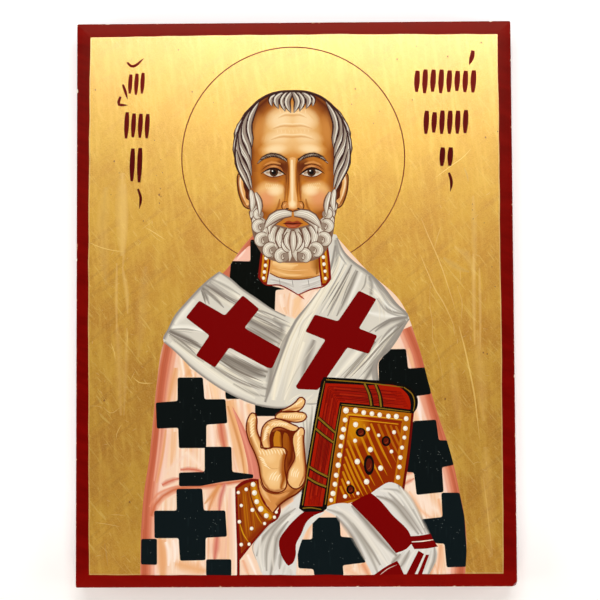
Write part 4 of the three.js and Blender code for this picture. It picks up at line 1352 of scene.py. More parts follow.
def forehead():
    """Broad light over the brow, the temples' shade, and calm level creases with a light above each."""
    glow(spot_on_face(0, 95), (20, 19), FLESH, 1.0)
    glow(spot_on_face(-1, 96), (18, 15), FLESH_LIGHT, 1.0)
    for side in (-1, 1):
        glow(spot_on_face(7.4, 101.4, side), (8.4, 7), GLINT, 0.75, turn=side * -20)
        glow(spot_on_face(9.4, 90.4, side), (9, 5), GLINT, 0.6, turn=side * -8)
        glow(spot_on_face(9.8, 84.4, side), (10, 5), FLESH_LIGHT, 1.0, turn=side * -6)
        glow(spot_on_face(9.4, 84.8, side), (7, 3), GLINT, 0.7, turn=side * -6)
        glow(spot_on_face(19.4, 95, side), (4, 12), (208, 138, 64), 0.9, turn=side * 6)
    for height, reach, depth in ((103.6, 8, 0.5), (97.6, 11, 0.65), (91.6, 12, 0.65)):
        line = [(-reach, -1.7), (-reach / 2, 0), (0, -0.3), (reach / 2, 0), (reach, -1.7)]
        haze(across_face([(x, height + y) for x, y in line]), 1.8, (208, 138, 68), depth, tip=0.2, tail=0.15)
        haze(across_face([(x * 0.92, height + 1.3 + y) for x, y in line]), 1.3, GLINT, 0.7, tip=0.2,
             tail=0.15)
    hatch((-9, 107), (7, 107), (0.5, -2.6), 8, GLINT, 0.4, 0.5)
    hatch((-10.4, 95.6), (9, 95.6), (0.3, -2.2), 9, GLINT, 0.4, 0.4)


def eye(side):
    """A level, almond eye, with its lids, the soft hollow round it, and the brow."""
    inner, outer = EYE / 2, EYE * 1.5
    mid = (inner + outer) / 2
    y = EYE_LINE

    def at(*points):
        return across_face(points, side)

    glow(at((mid, y + 0.8))[0], (9.2, 7.4), FLESH_DARK, 1.0)
    glow(at((mid - 4.4, y + 3))[0], (4.4, 5.2), FLESH_DEEP, 0.95)
    haze(at((inner + 1.4, y + 4.6), (mid + 0.6, y + 5.8), (outer + 0.6, y + 3.8)), 2.2, (224, 158, 86), 0.9)
    area(
        at((inner - 0.4, y - 0.9, 1), (inner + 2.4, y + 1.2), (mid, y + 2.2), (outer - 2, y + 1.4),
           (outer + 0.6, y - 0.2, 1), (outer - 2.4, y - 1.9), (mid, y - 2.4), (inner + 2, y - 1.9)),
        (214, 199, 176), step=1.0,
    )
    haze(at((inner + 1, y - 0.5), (inner + 3, y - 0.1)), 2.6, (150, 108, 78), 0.9)
    haze(at((outer - 3, y), (outer - 0.6, y - 0.2)), 2.4, (156, 114, 84), 0.9)
    dot(at((mid, y + 0.1))[0], 2.4, (66, 34, 14), sides=18)
    dot(at((mid, y + 0.1))[0], 1.35, (14, 8, 6), sides=14)
    dot((at((mid, 0))[0][0] - 0.75, y + 0.8), 0.4, (246, 240, 230), sides=8)
    lid = at((inner - 0.8, y - 0.9, 1), (inner + 2.2, y + 1.3), (mid, y + 2.1), (outer - 2, y + 1.4),
             (outer + 0.8, y - 0.2, 1), (outer - 1, y + 3), (mid, y + 4.4), (inner + 1.6, y + 3))
    area(lid, (176, 104, 48), step=1.0)
    haze(at((mid - 2.6, y + 3), (mid + 0.4, y + 3.5), (mid + 3, y + 2.8)), 1.4, (226, 162, 96), 0.9)
    mark(at((inner - 1.4, y - 1.5), (inner + 2.2, y + 1.3), (mid, y + 2.3), (outer - 1.8, y + 1.6),
            (outer + 2, y - 0.8)),
         1.15, (40, 16, 8), tip=0.3, tail=0.15)
    mark(at((inner + 0.4, y - 1.6), (mid, y - 2.65), (outer - 1.6, y - 2.1), (outer + 0.8, y - 0.6)), 0.55,
         (108, 46, 16))
    mark(at((inner + 0.8, y + 2.8), (mid, y + 4.6), (outer - 1, y + 3.4), (outer + 2.2, y + 0.8)), 0.6,
         (92, 40, 14), tip=0.2)
    haze(at((inner + 1, y - 3.8), (mid, y - 4.8), (outer, y - 3.6)), 1.8, (182, 106, 46), 0.9)
    hatch(at((inner + 2.6, y - 6.4))[0], at((outer - 0.6, y - 5.8))[0], (0.7 * side, -1.6), 7, GLINT, 0.4,
          0.5)
    brow = at((inner - 2, y + 6.6), (inner + 1.6, y + 8.8), (mid + 0.6, y + 9.8), (outer + 0.6, y + 8.2),
              (outer + 4, y + 4.8))
    haze(brow, 4.0, FLESH_DEEP, 0.9, tip=0.7, tail=0.3)
    mark(brow, 2.4, (44, 24, 18), 0.95, tip=0.6, tail=0.1)
    line = even(soft(brow), 17)
    for k in range(15):
        way = (line[k + 1] - line[k]) / abs(line[k + 1] - line[k])
        root = line[k] - 0.7j
        mark(np.array([root, root + way * 1.2 + 0.8j, root + way * 2.6 + 1.0j]), 0.42,
             chance.choice([(150, 132, 112), (104, 84, 70), (188, 174, 154)]), 0.85)


def cheek(side):
    """The cheek's broad light, its colour, and the fold beside the nose."""

    def at(*points):
        return across_face(points, side)

    glow(at((13, 58.6))[0], (10.4, 9.6), FLESH, 1.0)
    glow(at((12.2, 60.6))[0], (9.2, 7.4), FLESH_LIGHT, 1.0)
    glow(at((15, 56.4))[0], (7.4, 6.6), (216, 132, 80), 0.7, turn=side * -30)
    glow(at((14.6, 57.4))[0], (4.4, 3.8), (230, 156, 104), 0.6)
    glow(at((9.4, 61.8))[0], (5.6, 3.6), GLINT, 0.8, turn=side * -14)
    haze(at((7.2, 57), (8, 52.8), (10.8, 48.8)), 2.0, FLESH_DARK, 0.8)
    hatch(at((7.8, 62.6))[0], at((14.6, 62.4))[0], (0.8 * side, 1.8), 7, GLINT, 0.4, 0.6)


def nose():
    y, low = EYE_LINE, NOSE_BASE
    for side, depth in ((-1, 0.8), (1, 1.0)):
        haze(across_face([(3.4, y + 8), (3.4, y), (3.8, y - 8), (4.6, low + 4.6)], side), 3.6, FLESH_DARK,
             depth)
        haze(across_face([(3.6, y + 6), (3.4, y), (3.4, y - 7)], side), 2.0, FLESH_DEEP, 0.85 * depth)
    ridge = [(1.7, y + 8, 1), (1.4, y + 1), (1.6, y - 9), (2.5, low + 4.6), (2.2, low + 1.4)]
    area(both_sides(y + 8.4, ridge, low + 0.2), (232, 176, 108))
    haze(across_face([(-0.4, y + 7), (-0.3, y - 8), (-0.3, low + 4)]), 2.8, GLINT, 1.0, tip=0.5, tail=0.7)
    glow(spot_on_face(-0.2, low + 3.6), (2.4, 2.6), GLINT, 1.0)
    haze(across_face([(-1.6, low + 1), (0, low + 0.4), (1.6, low + 1)]), 1.6, (190, 112, 54), 0.9, tip=0.6,
         tail=0.6)
    for side in (-1, 1):
        wing = [(2.4, low + 1.4), (3.2, low + 4.6), (5, low + 4.6), (6.1, low + 2.2), (5, low + 0.2),
                (3.4, low + 0.2)]
        area(across_face(wing, side), (204, 132, 64), step=0.9)
        haze(across_face([(4, low + 3.8), (5.1, low + 2)], side), 1.5, FLESH_LIGHT, 0.9)
        rim = [(3.2, low + 5), (5.4, low + 4.8), (6.3, low + 2.2), (5, low), (3.6, low + 0.3)]
        mark(across_face(rim, side), 0.6, (86, 32, 10), tip=0.2)
        mark(across_face([(2.2, low + 0.9), (3.3, low + 1.2), (4.3, low + 0.3)], side), 0.85, (52, 16, 8))
        mark(across_face([(3, y + 8), (2.4, y + 1), (2.5, y - 8), (3.1, low + 5)], side), 0.5,
             (112, 50, 16), 0.95)
    mark(across_face([(-2.2, low + 0.6), (0, low - 0.5), (2.2, low + 0.6)]), 0.65, (84, 28, 10), tip=0.4,
         tail=0.3)


def mouth():
    y = MOUTH_LINE
    haze(across_face([(-4.6, y + 1.6), (0, y + 3), (4.6, y + 1.6)]), 3, (190, 118, 60), 0.9)
    lips = [(2.4, y + 1.5), (5.2, y, 1), (2.6, y - 2.2)]
    area(both_sides(y + 0.9, lips, y - 2.7), (158, 62, 32), step=0.9)
    haze(across_face([(-3, y - 1.3), (0, y - 1.6), (3, y - 1.3)]), 1.5, (204, 112, 72), 0.9)
    mark(across_face([(-5.6, y - 0.2), (-2.2, y + 0.1), (0, y - 0.3), (2.2, y + 0.1), (5.6, y - 0.2)]), 0.7,
         (66, 14, 8), tip=0.3, tail=0.3)


# Each side's hair falls in waves from the crown to the front of the ear. Points, width and strands of a lock.
SIDE_LOCKS = [
    ([(18.6, 111), (22.8, 104), (24.6, 96.6), (23, 89.6), (23.8, 82)], 2.6, 2),
    ([(22.6, 108.4), (27, 101), (27.6, 93.4), (24.4, 86), (23, 77)], 3.2, 2),
    ([(27, 102.6), (30.4, 95), (29.4, 87), (25, 79.6), (22.6, 70)], 3.4, 3),
    ([(30.4, 94.6), (31.2, 86.6), (29.2, 79), (25, 72), (22.4, 62.6)], 3.2, 3),
    ([(31.2, 84.6), (30.2, 77), (26.6, 69.6), (22.8, 60)], 2.6, 2),
]
FORELOCKS = [
    ([(8, 115), (11.6, 112.6), (11.2, 108.4)], 2.2, 2), ([(5.4, 116), (9.2, 112.6), (7.6, 107)], 2.8, 2),
    ([(2.8, 116.4), (6, 112), (4, 105.6)], 2.8, 2), ([(0.2, 116.6), (2.8, 111.6), (0.8, 104.8)], 2.8, 2),
]
# One side of the beard: its rim, and the waves that hang from its upper edge to it.
BEARD_RIM = [
    (8, 22), (14.6, 24.4), (19.6, 30.4), (22.4, 38.6), (22.8, 48), (21.4, 56, 1), (18.6, 49), (12.6, 44),
    (6.4, 42),
]
BEARD_ROOTS = [(21, 56), (18.8, 48.6), (13.4, 44), (8, 41.2), (2, 40.2)]
BEARD_FEET = [(20.8, 46), (20.4, 37), (17.6, 29.4), (11.4, 24.4), (2, 22.4)]
BEARD_WAVES = 8
# The curls along the rim: middle, radius, start and turn in degrees, and width.
BEARD_CURLS = [
    ((18.4, 48.4), 2.2, 110, -210, 3.0), ((18.2, 41.6), 2.9, 120, -220, 3.5),
    ((16.6, 34.2), 3.1, 120, -220, 3.7), ((12, 28.4), 3.2, 120, -220, 3.8),
    ((5.6, 25.2), 3.2, 130, -220, 3.8),
]
SIDEBURNS = [([(23.2, 62), (21.6, 56), (22.8, 49.6)], 3.0, 3),
             ([(20.6, 60.6), (18.6, 54), (18.4, 47.6)], 2.4, 2)]


def hair():
    """The side locks and the short forelocks."""
    for side in (-1, 1):
        for points, width, count in SIDE_LOCKS:
            lock(across_face(points, side), width, count, root=0.08, light=0.3 * side)
    for points, width, count in FORELOCKS:
        for side in (-1, 1):
            lock(across_face(points, side), width, count, light=0.3 * side)


def beard():
    area(across_face([(0, 40.6)] + BEARD_RIM[::-1] + [(0, 21.6)]) + across_face(BEARD_RIM, -1), (128, 98, 78))
    for side in (-1, 1):
        roots, feet = (even(soft(across_face(line, side)), BEARD_WAVES) for line in (BEARD_ROOTS, BEARD_FEET))
        for root, foot in zip(roots, feet):
            fall = foot - root
            sway = 1j * fall / abs(fall) * side
            wave = np.array([root, root + fall * 0.32 + sway * 1.7, root + fall * 0.68 - sway * 1.3, foot])
            lock([(p.real, p.imag) for p in wave], 3.9, 4, root=0.6, tip=0.12, tones=BEARD_TONES,
                 light=0.3 * side)
        for middle, radius, start, turn, width in BEARD_CURLS:
            if side < 0:
                start, turn = 180 - start, -turn
            curl(across_face([middle], side)[0], radius, start, turn, width)
        for points, width, count in SIDEBURNS:
            lock(across_face(points, side), width, count, tones=BEARD_TONES, light=0.3 * side)
    for side in (-1, 1):
        middle = spot_on_face(0.6, 31.4, side)
        arc(complex(*middle), 4.6, 90 - side * 8, -150 * side, 3.2, 3)
    for points, width in (([(2.2, 38.4), (3.8, 33.6), (1.4, 28.4)], 2.6),
                          ([(0, 39), (0.1, 33), (0, 27)], 3.2)):
        for side in (-1, 1) if points[0][0] else (1,):
            lock(across_face(points, side), width, 3, root=0.5, tip=0.2, tones=BEARD_TONES, light=0.2 * side)
    mouth()
    y = NOSE_BASE
    for side in (-1, 1):
        lock(across_face([(4, y - 2.6), (9.4, y - 4.8), (13, y - 8.8), (12.8, y - 13)], side), 3.2, 3,
             tones=BEARD_TONES, light=0.3 * side)
        lock(across_face([(0.6, y - 1.9), (5.4, y - 1.7), (11, y - 4.2), (15.8, y - 10)], side), 4.6, 4,
             root=0.45, tones=BEARD_TONES, light=0.3 * side)


def head():
    for side in (-1, 1):
        ear(side)
    skull()
    forehead()
    for side in (-1, 1):
        cheek(side)
    nose()
    for side in (-1, 1):
        eye(side)
    hair()
    mark(across_face([(-x, y) for x, y in DOME[::-1]] + [(0, 117)] + DOME), 1.3, HAIR_LINE, 0.95, tip=0.4,
         tail=0.2)
    beard()


def paint_picture():
    field = gilded_field()
    worn_gold()
    halo()
    stroke_rows()
    robe()
    stole()
    book_cover()
    drape()
    book_block()
    cuff()
    hand()
    collar()
    head()
    return field


# The board. Each nick's side, its distance from the side's top or left end, its length and its bite.
NICKS = [
    ("left", 37.5, 2.6, 0.75), ("left", 131, 1.8, 0.5), ("top", 229, 2.2, 0.6), ("top", 17, 3.4, 0.45),
    ("right", 22, 1.6, 0.45), ("right", 196, 2, 0.5), ("bottom", 153.5, 2, 0.6), ("bottom", 206, 2.4, 0.5),
]
NICK_DROP = 1.5  # how far a nick runs down the side, as a share of its bite
CORNER_RADIUS, CORNER_SEGMENTS = 0.9, 5
ARRIS_RADIUS, ARRIS_SEGMENTS = 0.7, 4
BRUISE_REACH = 1.6
BRUISE_DEPTH = 4.0
BRUISE_INSET = BRUISE_REACH / 4
DIAGONAL = math.sqrt(0.5)
BRUISE_FACING = Vector((BRUISE_DEPTH * DIAGONAL, -BRUISE_DEPTH * DIAGONAL, BRUISE_REACH)).normalized()


def nick_place(side, at, length, bite):
    """A nick's middle and its reach along x, y and z."""
    x = {"left": -WIDTH / 2, "right": WIDTH / 2}.get(side, at - WIDTH / 2)
    y = {"top": HEIGHT / 2, "bottom": -HEIGHT / 2}.get(side, HEIGHT / 2 - at)
    across_side = side in ("top", "bottom")
    reach = (length / 2 if across_side else bite, bite if across_side else length / 2, NICK_DROP * bite)
    return Vector((x, y, TOP)), Vector(reach)


def is_broken(normal, middle):
    """Whether a face belongs to a nick or to the bruised corner."""
    if normal.dot(BRUISE_FACING) > 0.999:
        return True
    for nick in NICKS:
        centre, reach = nick_place(*nick)
        off = middle - centre
        if 0.75 < sum((off[k] / reach[k]) ** 2 for k in range(3)) < 1.1:
            return True
    return False


def pick_faces(test):
    """Selects, in edit mode, the faces that pass a test on their normal and their middle in millimetres."""
    mesh = bmesh.from_edit_mesh(bpy.context.object.data)
    bpy.ops.mesh.select_all(action="DESELECT")
    for face in mesh.faces:
        face.select = test(face.normal, face.calc_center_median() / MM)
    mesh.select_flush_mode()
    bmesh.update_edit_mesh(bpy.context.object.data)


def cut_with(board, cutter):
    """Takes the cutter out of the board and throws it away."""
    taking = board.modifiers.new("cut", "BOOLEAN")
    taking.object = cutter
    taking.solver = "EXACT"
    bpy.context.view_layer.objects.active = board
    bpy.ops.object.modifier_apply(modifier=taking.name)
    bpy.data.objects.remove(cutter)


def bare_board():
    """A cube at the board's size, with rounded corners and arrises, its nicks cut and its corner bruised."""
    bpy.ops.object.select_all(action="DESELECT")
    bpy.ops.mesh.primitive_cube_add(size=1, location=(0, 0, TOP * MM - THICKNESS * MM / 2))
    board = bpy.context.object
    board.name = "painted_panel"
    board.scale = (WIDTH * MM, HEIGHT * MM, THICKNESS * MM)
    bpy.ops.object.transform_apply(location=True, rotation=True, scale=True)
    bpy.ops.object.mode_set(mode="EDIT")
    bpy.ops.mesh.select_mode(type="EDGE")
    bpy.ops.mesh.select_all(action="DESELECT")
    mesh = bmesh.from_edit_mesh(board.data)
    for edge in mesh.edges:
        a, b = edge.verts
        edge.select = abs(a.co.z - b.co.z) > THICKNESS * MM / 2
    bmesh.update_edit_mesh(board.data)
    bpy.ops.mesh.bevel(offset=CORNER_RADIUS * MM, segments=CORNER_SEGMENTS)
    bpy.ops.mesh.select_all(action="DESELECT")
    mesh = bmesh.from_edit_mesh(board.data)
    for edge in mesh.edges:
        lying = any(abs(face.normal.z) > 0.9 for face in edge.link_faces)
        edge.select = lying and edge.calc_face_angle(0) > 1
    bmesh.update_edit_mesh(board.data)
    bpy.ops.mesh.bevel(offset=ARRIS_RADIUS * MM, segments=ARRIS_SEGMENTS)
    bpy.ops.object.mode_set(mode="OBJECT")
    for nick in NICKS:
        centre, reach = nick_place(*nick)
        bpy.ops.mesh.primitive_uv_sphere_add(segments=16, ring_count=10, radius=1, location=centre * MM)
        scoop = bpy.context.object
        scoop.scale = reach * MM
        bpy.ops.object.transform_apply(location=True, rotation=True, scale=True)
        cut_with(board, scoop)
    bpy.ops.object.select_all(action="DESELECT")
    board.select_set(True)
    bpy.context.view_layer.objects.active = board
    bpy.ops.object.mode_set(mode="EDIT")
    bpy.ops.mesh.select_all(action="SELECT")
    inward = BRUISE_INSET + BRUISE_REACH * DIAGONAL
    start = Vector((WIDTH / 2 - inward, -HEIGHT / 2 + inward, TOP))
    bpy.ops.mesh.bisect(
        plane_co=start * MM, plane_no=BRUISE_FACING, use_fill=True, clear_outer=True, threshold=1e-6
    )
    bpy.ops.object.mode_set(mode="OBJECT")
    return board


def front_rim(board):
    """Opens the front face and gives its rim as one loop, in millimetres."""
    bpy.ops.object.mode_set(mode="EDIT")
    pick_faces(lambda normal, middle: normal.z > 0.9999 and middle.z > TOP - 0.01)
    bpy.ops.mesh.delete(type="FACE")
    mesh = bmesh.from_edit_mesh(board.data)
    edges = [edge for edge in mesh.edges if edge.is_boundary]
    beside = {}
    for edge in edges:
        a, b = (v.index for v in edge.verts)
        beside.setdefault(a, []).append(b)
        beside.setdefault(b, []).append(a)
    mesh.verts.ensure_lookup_table()
    loop = [next(iter(beside))]
    seen = set(loop)
    while True:
        ahead = [k for k in beside[loop[-1]] if k not in seen]
        if not ahead:
            break
        loop.append(ahead[0])
        seen.add(ahead[0])
    rim = np.array([complex(*mesh.verts[k].co[:2]) / MM for k in loop])
    bpy.ops.object.mode_set(mode="OBJECT")
    assert len(loop) == len(edges), "the front's rim isn't one loop"
    return rim


def painted_front(rim, field):
    """The picture as a flat mesh inside the rim: gold and tempera in its field, red paint round it."""
    spots, faces, middles, paint, bare = picture.triangles(rim)
    mesh = bpy.data.meshes.new("front")
    mesh.from_pydata([(p.real * MM, p.imag * MM, TOP * MM) for p in spots], [], faces.tolist())
    corners = np.concatenate([as_light(paint), bare[..., None]], axis=2)
    mesh.color_attributes.new("paint", "FLOAT_COLOR", "CORNER").data.foreach_set("color", corners.ravel())
    inner = inside(field, middles)
    mesh.polygons.foreach_set("material_index", np.where(inner, 0, 1).astype(np.int32))
    mesh.update()
    front = bpy.data.objects.new("front", mesh)
    bpy.context.scene.collection.objects.link(front)
    return front


class Signal:
    """A socket that carries a number, so that shader maths is written as sums."""

    def __init__(self, finish, socket):
        self.finish = finish
        self.socket = socket

    def using(self, operation, *values):
        return self.finish.number("ShaderNodeMath", {"operation": operation}, dict(enumerate(values)))

    def __add__(self, other):
        return self.using("ADD", self, other)

    def __sub__(self, other):
        return self.using("SUBTRACT", self, other)

    def __mul__(self, other):
        return self.using("MULTIPLY", self, other)

    def __rsub__(self, other):
        return self.using("SUBTRACT", other, self)

    __radd__ = __add__
    __rmul__ = __mul__


class Finish:
    """A node material, built round one Principled shader."""

    def __init__(self, name):
        self.material = bpy.data.materials.new(name)
        self.material.use_nodes = True
        self.tree = self.material.node_tree
        self.tree.nodes.clear()
        self.surface = self.node("ShaderNodeBsdfPrincipled")
        self.node("ShaderNodeOutputMaterial", {}, {"Surface": self.surface.outputs[0]})

    def node(self, kind, settings=None, inputs=None):
        node = self.tree.nodes.new(kind)
        for name, value in (settings or {}).items():
            setattr(node, name, value)
        for name, value in (inputs or {}).items():
            self.feed(node.inputs[name], value)
        return node

    def feed(self, socket, value):
        if isinstance(value, Signal):
            value = value.socket
        if isinstance(value, bpy.types.NodeSocket):
            self.tree.links.new(value, socket)
        elif socket.type == "RGBA" and len(value) == 3:
            socket.default_value = (*value, 1)
        else:
            socket.default_value = value

    def number(self, kind, settings, inputs, output=0):
        return Signal(self, self.node(kind, settings, inputs).outputs[output])

    def place(self, stretch=(1, 1, 1), turn=0.0):
        """Object coordinates in millimetres, turned about the picture's axis and then squeezed."""
        coordinates = self.node("ShaderNodeTexCoord").outputs["Object"]
        return self.node(
            "ShaderNodeMapping",
            {"vector_type": "TEXTURE"},
            {"Vector": coordinates, "Scale": [MM / s for s in stretch],
             "Rotation": (0, 0, math.radians(turn))},
        ).outputs[0]

    def noise(self, size, detail=3, roughness=0.5, stretch=(1, 1, 1), turn=0.0, wander=0.0):
        """Noise from 0 to 1 whose lumps are about size millimetres."""
        return self.number(
            "ShaderNodeTexNoise",
            {},
            {"Vector": self.place(stretch, turn), "Scale": 1 / size, "Detail": detail, "Roughness": roughness,
             "Distortion": wander},
        )

    def between(self, signal, low, high, start=0.0, end=1.0):
        """The signal from low to high, eased to run from start to end."""
        return self.number(
            "ShaderNodeMapRange",
            {"interpolation_type": "SMOOTHSTEP"},
            {"Value": signal, "From Min": low, "From Max": high, "To Min": start, "To Max": end},
        )

    def blend(self, share, one, other):
        """A colour that is the given share of the way from one to the other."""
        node = self.node("ShaderNodeMix", {"data_type": "RGBA"})
        self.feed(node.inputs["Factor"], share)
        for name, value in (("A", one), ("B", other)):
            self.feed([s for s in node.inputs if s.name == name and s.type == "RGBA"][0], value)
        return [s for s in node.outputs if s.type == "RGBA"][0]

    def bump(self, height, distance):
        """Relief whose full height is the distance in millimetres."""
        return self.node("ShaderNodeBump", {}, {"Height": height, "Distance": distance * MM}).outputs[0]

    def wear(self, **sockets):
        """Plugs values into the Principled shader's sockets and gives the finished material."""
        for name, value in sockets.items():
            self.feed(self.surface.inputs[name.replace("_", " ")], value)
        return self.material


def gold_and_tempera():
    """Tempera where the picture is painted and burnished leaf where its attribute says that gold is bare."""
    finish = Finish("gold_and_tempera")
    paint = finish.node("ShaderNodeAttribute", {"attribute_name": "paint"})
    leaf = Signal(finish, paint.outputs["Alpha"])
    cloud = finish.noise(26, 5, 0.66)
    drag = finish.noise(2.6, 4, 0.6, stretch=(1, 0.12, 1), turn=6)
    sweep = finish.noise(3.2, 3, 0.6, stretch=(1, 0.1, 1), turn=-52)
    wrinkle = finish.noise(1.3, 2, 0.55, stretch=(1, 0.09, 1), turn=38, wander=1.4)
    speck = finish.noise(0.6, 3, 0.66)
    height = Signal(finish, finish.node("ShaderNodeSeparateXYZ", {}, {"Vector": finish.place()}).outputs[1])
    handled = finish.between(height, 0, 120, 1.0, 0.3)  # the lower part has been handled more
    gold = finish.blend(finish.between(cloud, 0.32, 0.68), linear((218, 147, 14)), linear((236, 175, 36)))
    # Painted sheen: the gold turns less orange towards the top, standing in for the window's light on the
    # upper part.
    gold = finish.blend(finish.between(height, -10, 130, 0.0, 0.6), gold, linear((214, 171, 27)))
    gold = finish.blend(finish.between(drag, 0.44, 0.72, 0.0, 0.45), gold, linear((250, 202, 76)))
    gold = finish.blend(finish.between(sweep, 0.5, 0.74, 0.0, 0.4) * handled, gold, linear((190, 122, 12)))
    gold = finish.blend(finish.between(wrinkle, 0.6, 0.7, 0.0, 0.5) * handled, gold, linear((255, 218, 104)))
    gold = finish.blend(finish.between(speck, 0.42, 0.7, 0.0, 0.4), gold, linear((250, 204, 80)))
    gold = finish.blend(finish.between(speck, 0.26, 0.4, 0.45, 0.0), gold, linear((168, 104, 10)))
    colour = finish.blend(leaf, paint.outputs["Color"], gold)
    return finish.wear(
        Base_Color=colour,
        Metallic=leaf * 0.8,
        Roughness=0.4 + (speck - 0.5) * 0.16 + (drag - 0.5) * 0.1 + (sweep - 0.5) * 0.06,
        Specular_IOR_Level=0.05,
        Coat_Weight=leaf * 0.9,
        Coat_IOR=2.2,
        Coat_Roughness=0.26,
        Normal=finish.bump(speck + drag + wrinkle, 0.014),
    )


def off_edge(finish):
    """How far a place lies outside the board's outline seen from above (negative inside), its height over
    the front, and how far it is above or below the picture's middle, all in millimetres."""
    place = finish.node("ShaderNodeSeparateXYZ", {}, {"Vector": finish.place()})
    x, y, z = (Signal(finish, socket) for socket in place.outputs)
    from_middle = y.using("ABSOLUTE", y)
    aside = x.using("MAXIMUM", x.using("ABSOLUTE", x) - WIDTH / 2, from_middle - HEIGHT / 2)
    return aside, z - TOP, from_middle


def red_paint():
    """Brushed dark red, rubbed through to the ground here and there along the front arris, with a painted
    sheen that lightens it near the top and bottom ends.
    """
    finish = Finish("red_paint")
    drag = finish.noise(5, 4, 0.6, stretch=(1, 0.25, 1), turn=70)
    chip = finish.noise(1.4, 3, 0.6)
    aside, rise, height = off_edge(finish)
    rubbed = finish.between(aside + rise + (chip - 0.5) * 2.4, -0.22, -0.1)
    colour = finish.blend(finish.between(drag, 0.3, 0.7), linear((106, 0, 0)), linear((122, 2, 1)))
    colour = finish.blend(finish.between(chip, 0.24, 0.3, 0.5, 0.0), colour, linear((92, 6, 4)))
    # Painted sheen: the red is lighter along the top and bottom strips of the border and on the board's ends.
    sheen_on_rails = finish.between(height, 143, 150, 0.0, 0.5)
    colour = finish.blend(sheen_on_rails, colour, linear((140, 8, 4)))
    colour = finish.blend(rubbed, colour, linear((206, 160, 124)))
    return finish.wear(
        Base_Color=colour,
        Roughness=0.28 + drag * 0.1 + rubbed * 0.4,
        Specular_IOR_Level=0.1,
        Specular_Tint=(1, 0.72, 0.5, 1),
        Normal=finish.bump(drag + chip * 0.3, 0.05),
    )


def bare_wood():
    """Planed wood, with the red paint carried over its rim."""
    finish = Finish("bare_wood")
    grain = finish.noise(2.4, 6, 0.6, stretch=(1, 0.05, 1), wander=0.6)
    rings = finish.noise(14, 3, 0.5, stretch=(1, 0.08, 1), wander=0.4)
    pores = finish.noise(0.7, 2, 0.5, stretch=(1, 0.06, 1))
    lap = finish.noise(7, 3, 0.55)
    aside = off_edge(finish)[0]
    colour = finish.blend(finish.between(rings, 0.35, 0.65), linear((178, 138, 96)), linear((198, 164, 122)))
    colour = finish.blend(finish.between(grain, 0.46, 0.7, 0.0, 0.6), colour, linear((146, 106, 68)))
    colour = finish.blend(finish.between(pores, 0.6, 0.7, 0.0, 0.7), colour, linear((104, 72, 44)))
    overlap = finish.between(aside + (lap - 0.5) * 9, -5.4, -4.2)
    colour = finish.blend(overlap, colour, linear((112, 6, 4)))
    return finish.wear(
        Base_Color=colour,
        Roughness=0.66 + grain * 0.2 - overlap * 0.2,
        Normal=finish.bump(grain + pores, 0.12),
    )


def gesso():
    """Chalky ground, where the nicks and the bruise cut through the paint."""
    finish = Finish("gesso")
    chalk = finish.noise(0.9, 4, 0.6)
    colour = finish.blend(chalk, linear((222, 205, 178)), linear((240, 228, 206)))
    return finish.wear(Base_Color=colour, Roughness=0.9 + chalk * 0.05, Normal=finish.bump(chalk, 0.15))


def make_panel():
    board = bare_board()
    rim = front_rim(board)
    for finish in (gold_and_tempera(), red_paint(), bare_wood(), gesso()):
        board.data.materials.append(finish)
    bpy.ops.object.mode_set(mode="EDIT")
    for slot, test in (
        (1, lambda normal, middle: True),
        (2, lambda normal, middle: normal.z < -0.9999),
        (3, is_broken),
    ):
        pick_faces(test)
        board.active_material_index = slot
        bpy.ops.object.material_slot_assign()
    bpy.ops.object.mode_set(mode="OBJECT")
    front = painted_front(rim, paint_picture())
    for material in board.data.materials:
        front.data.materials.append(material)
    bpy.ops.object.select_all(action="DESELECT")
    front.select_set(True)
    board.select_set(True)
    bpy.context.view_layer.objects.active = board
    bpy.ops.object.join()
    bpy.ops.object.mode_set(mode="EDIT")
    bpy.ops.mesh.select_mode(type="VERT")
    bpy.ops.mesh.select_all(action="DESELECT")
    bpy.ops.mesh.select_non_manifold()
    bpy.ops.mesh.remove_doubles(threshold=0.005 * MM)
    bpy.ops.object.mode_set(mode="OBJECT")
    bpy.ops.object.shade_smooth_by_angle(angle=math.radians(35))
    lay_out_map(board)
    return board


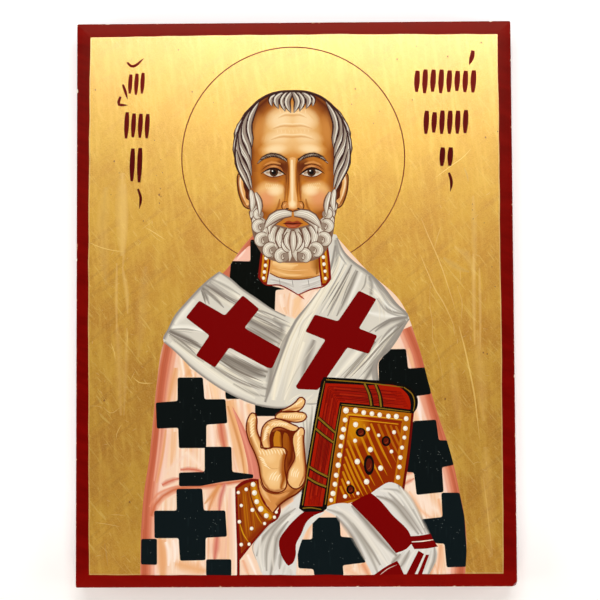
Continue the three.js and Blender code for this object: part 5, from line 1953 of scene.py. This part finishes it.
def lay_out_map(board):
    """A flat layout of the faces: the front at the left, the back and the four sides in strips beside it."""
    data = board.data
    spots = np.empty(len(data.vertices) * 3)
    data.vertices.foreach_get("co", spots)
    spots = spots.reshape(-1, 3) / MM
    corners = np.empty(len(data.loops), dtype=np.int32)
    data.loops.foreach_get("vertex_index", corners)
    totals = np.empty(len(data.polygons), dtype=np.int32)
    data.polygons.foreach_get("loop_total", totals)
    normals = np.empty(len(data.polygons) * 3)
    data.polygons.foreach_get("normal", normals)
    x, y, z = spots[corners].T
    facing_x, facing_y, facing_z = np.repeat(normals.reshape(-1, 3), totals, axis=0).T
    front_scale, back_scale, strip_scale = 1 / (HEIGHT + 2), 0.2 / WIDTH, 1 / 444
    beside_front = 0.785
    back_foot, strip_foot = 0.005, 0.28
    strip_pitch = 0.053
    lying = 0.707  # a face lies flat where its normal's upward share is more than this
    u, v = (x + WIDTH / 2 + 1) * front_scale, (y + HEIGHT / 2 + 1) * front_scale
    back = facing_z < -lying
    u[back] = beside_front + (WIDTH / 2 - x[back]) * back_scale
    v[back] = back_foot + (y[back] + HEIGHT / 2) * back_scale
    upright = np.abs(facing_z) <= lying
    by_x = np.abs(facing_x) > np.abs(facing_y)
    strips = [
        (by_x & (facing_x > 0), y), (by_x & (facing_x <= 0), y), (~by_x & (facing_y > 0), x),
        (~by_x & (facing_y <= 0), x),
    ]
    for k, (picked, along) in enumerate(strips):
        side = upright & picked
        u[side] = beside_front + strip_pitch * k + z[side] * strip_scale
        v[side] = strip_foot + (along[side] + HEIGHT / 2) * strip_scale
    layout = data.uv_layers.new(name="OFBake")
    layout.data.foreach_set("uv", np.stack([u, v], axis=1).astype(np.float32).ravel())


def light_studio():
    """A window over the picture's top, pale walls at both sides, and a warm one by its foot."""
    scene = bpy.context.scene
    scene.view_settings.view_transform = "Standard"
    world = bpy.data.worlds.new("studio")
    world.use_nodes = True
    world.node_tree.nodes["Background"].inputs["Color"].default_value = (1, 1, 1, 1)
    world.node_tree.nodes["Background"].inputs["Strength"].default_value = 0.12
    scene.world = world
    for name, place, size, power, tint in (
        ("window", (0.03, 0.64, 1.16), (0.9, 0.4), 8.0, (1, 1, 1)),
        ("left_wall", (-1.4, -0.1, 0.8), (1.0, 1.0), 9.4, (1, 1, 1)),
        ("right_wall", (1.4, 0.0, 0.8), (1.0, 1.0), 9.2, (1, 1, 1)),
        ("near_wall", (0.0, -0.9, 1.0), (1.0, 0.5), 6.0, (1, 0.88, 0.76)),
    ):
        lamp = bpy.data.lights.new(name, "AREA")
        lamp.shape = "RECTANGLE"
        lamp.size, lamp.size_y = size
        lamp.energy = power
        lamp.color = tint
        holder = bpy.data.objects.new(name, lamp)
        holder.location = place
        holder.rotation_euler = (-Vector(place)).to_track_quat("-Z", "Y").to_euler()
        scene.collection.objects.link(holder)


def lay_floor():
    """A pale table top that glows a little, with a painted shadow that makes it darker and warmer near the
    picture's foot.
    """
    bpy.ops.object.select_all(action="DESELECT")
    bpy.ops.mesh.primitive_plane_add(size=6, location=(0, 0, 0))
    floor = bpy.context.object
    floor.name = "floor"
    finish = Finish("pale_floor")
    cloud = finish.noise(220, 2)
    colour = finish.blend(cloud, (0.92, 0.915, 0.905), (0.95, 0.945, 0.935))
    height = finish.number("ShaderNodeSeparateXYZ", {}, {"Vector": finish.place()}, output=1)
    # Painted shadow: the floor's glow turns darker and warmer towards the picture's foot.
    glow_and_painted_shadow = finish.blend(finish.between(height, -175, -100), (0.5, 0.45, 0.41), (1, 0.99, 0.975))
    floor.data.materials.append(
        finish.wear(Base_Color=colour, Roughness=0.9 + cloud * 0.05, Emission_Color=glow_and_painted_shadow,
                    Emission_Strength=0.3)
    )


place_camera()
panel = make_panel()
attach(panel, "root")
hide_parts("painted_board")
lay_floor()
light_studio()
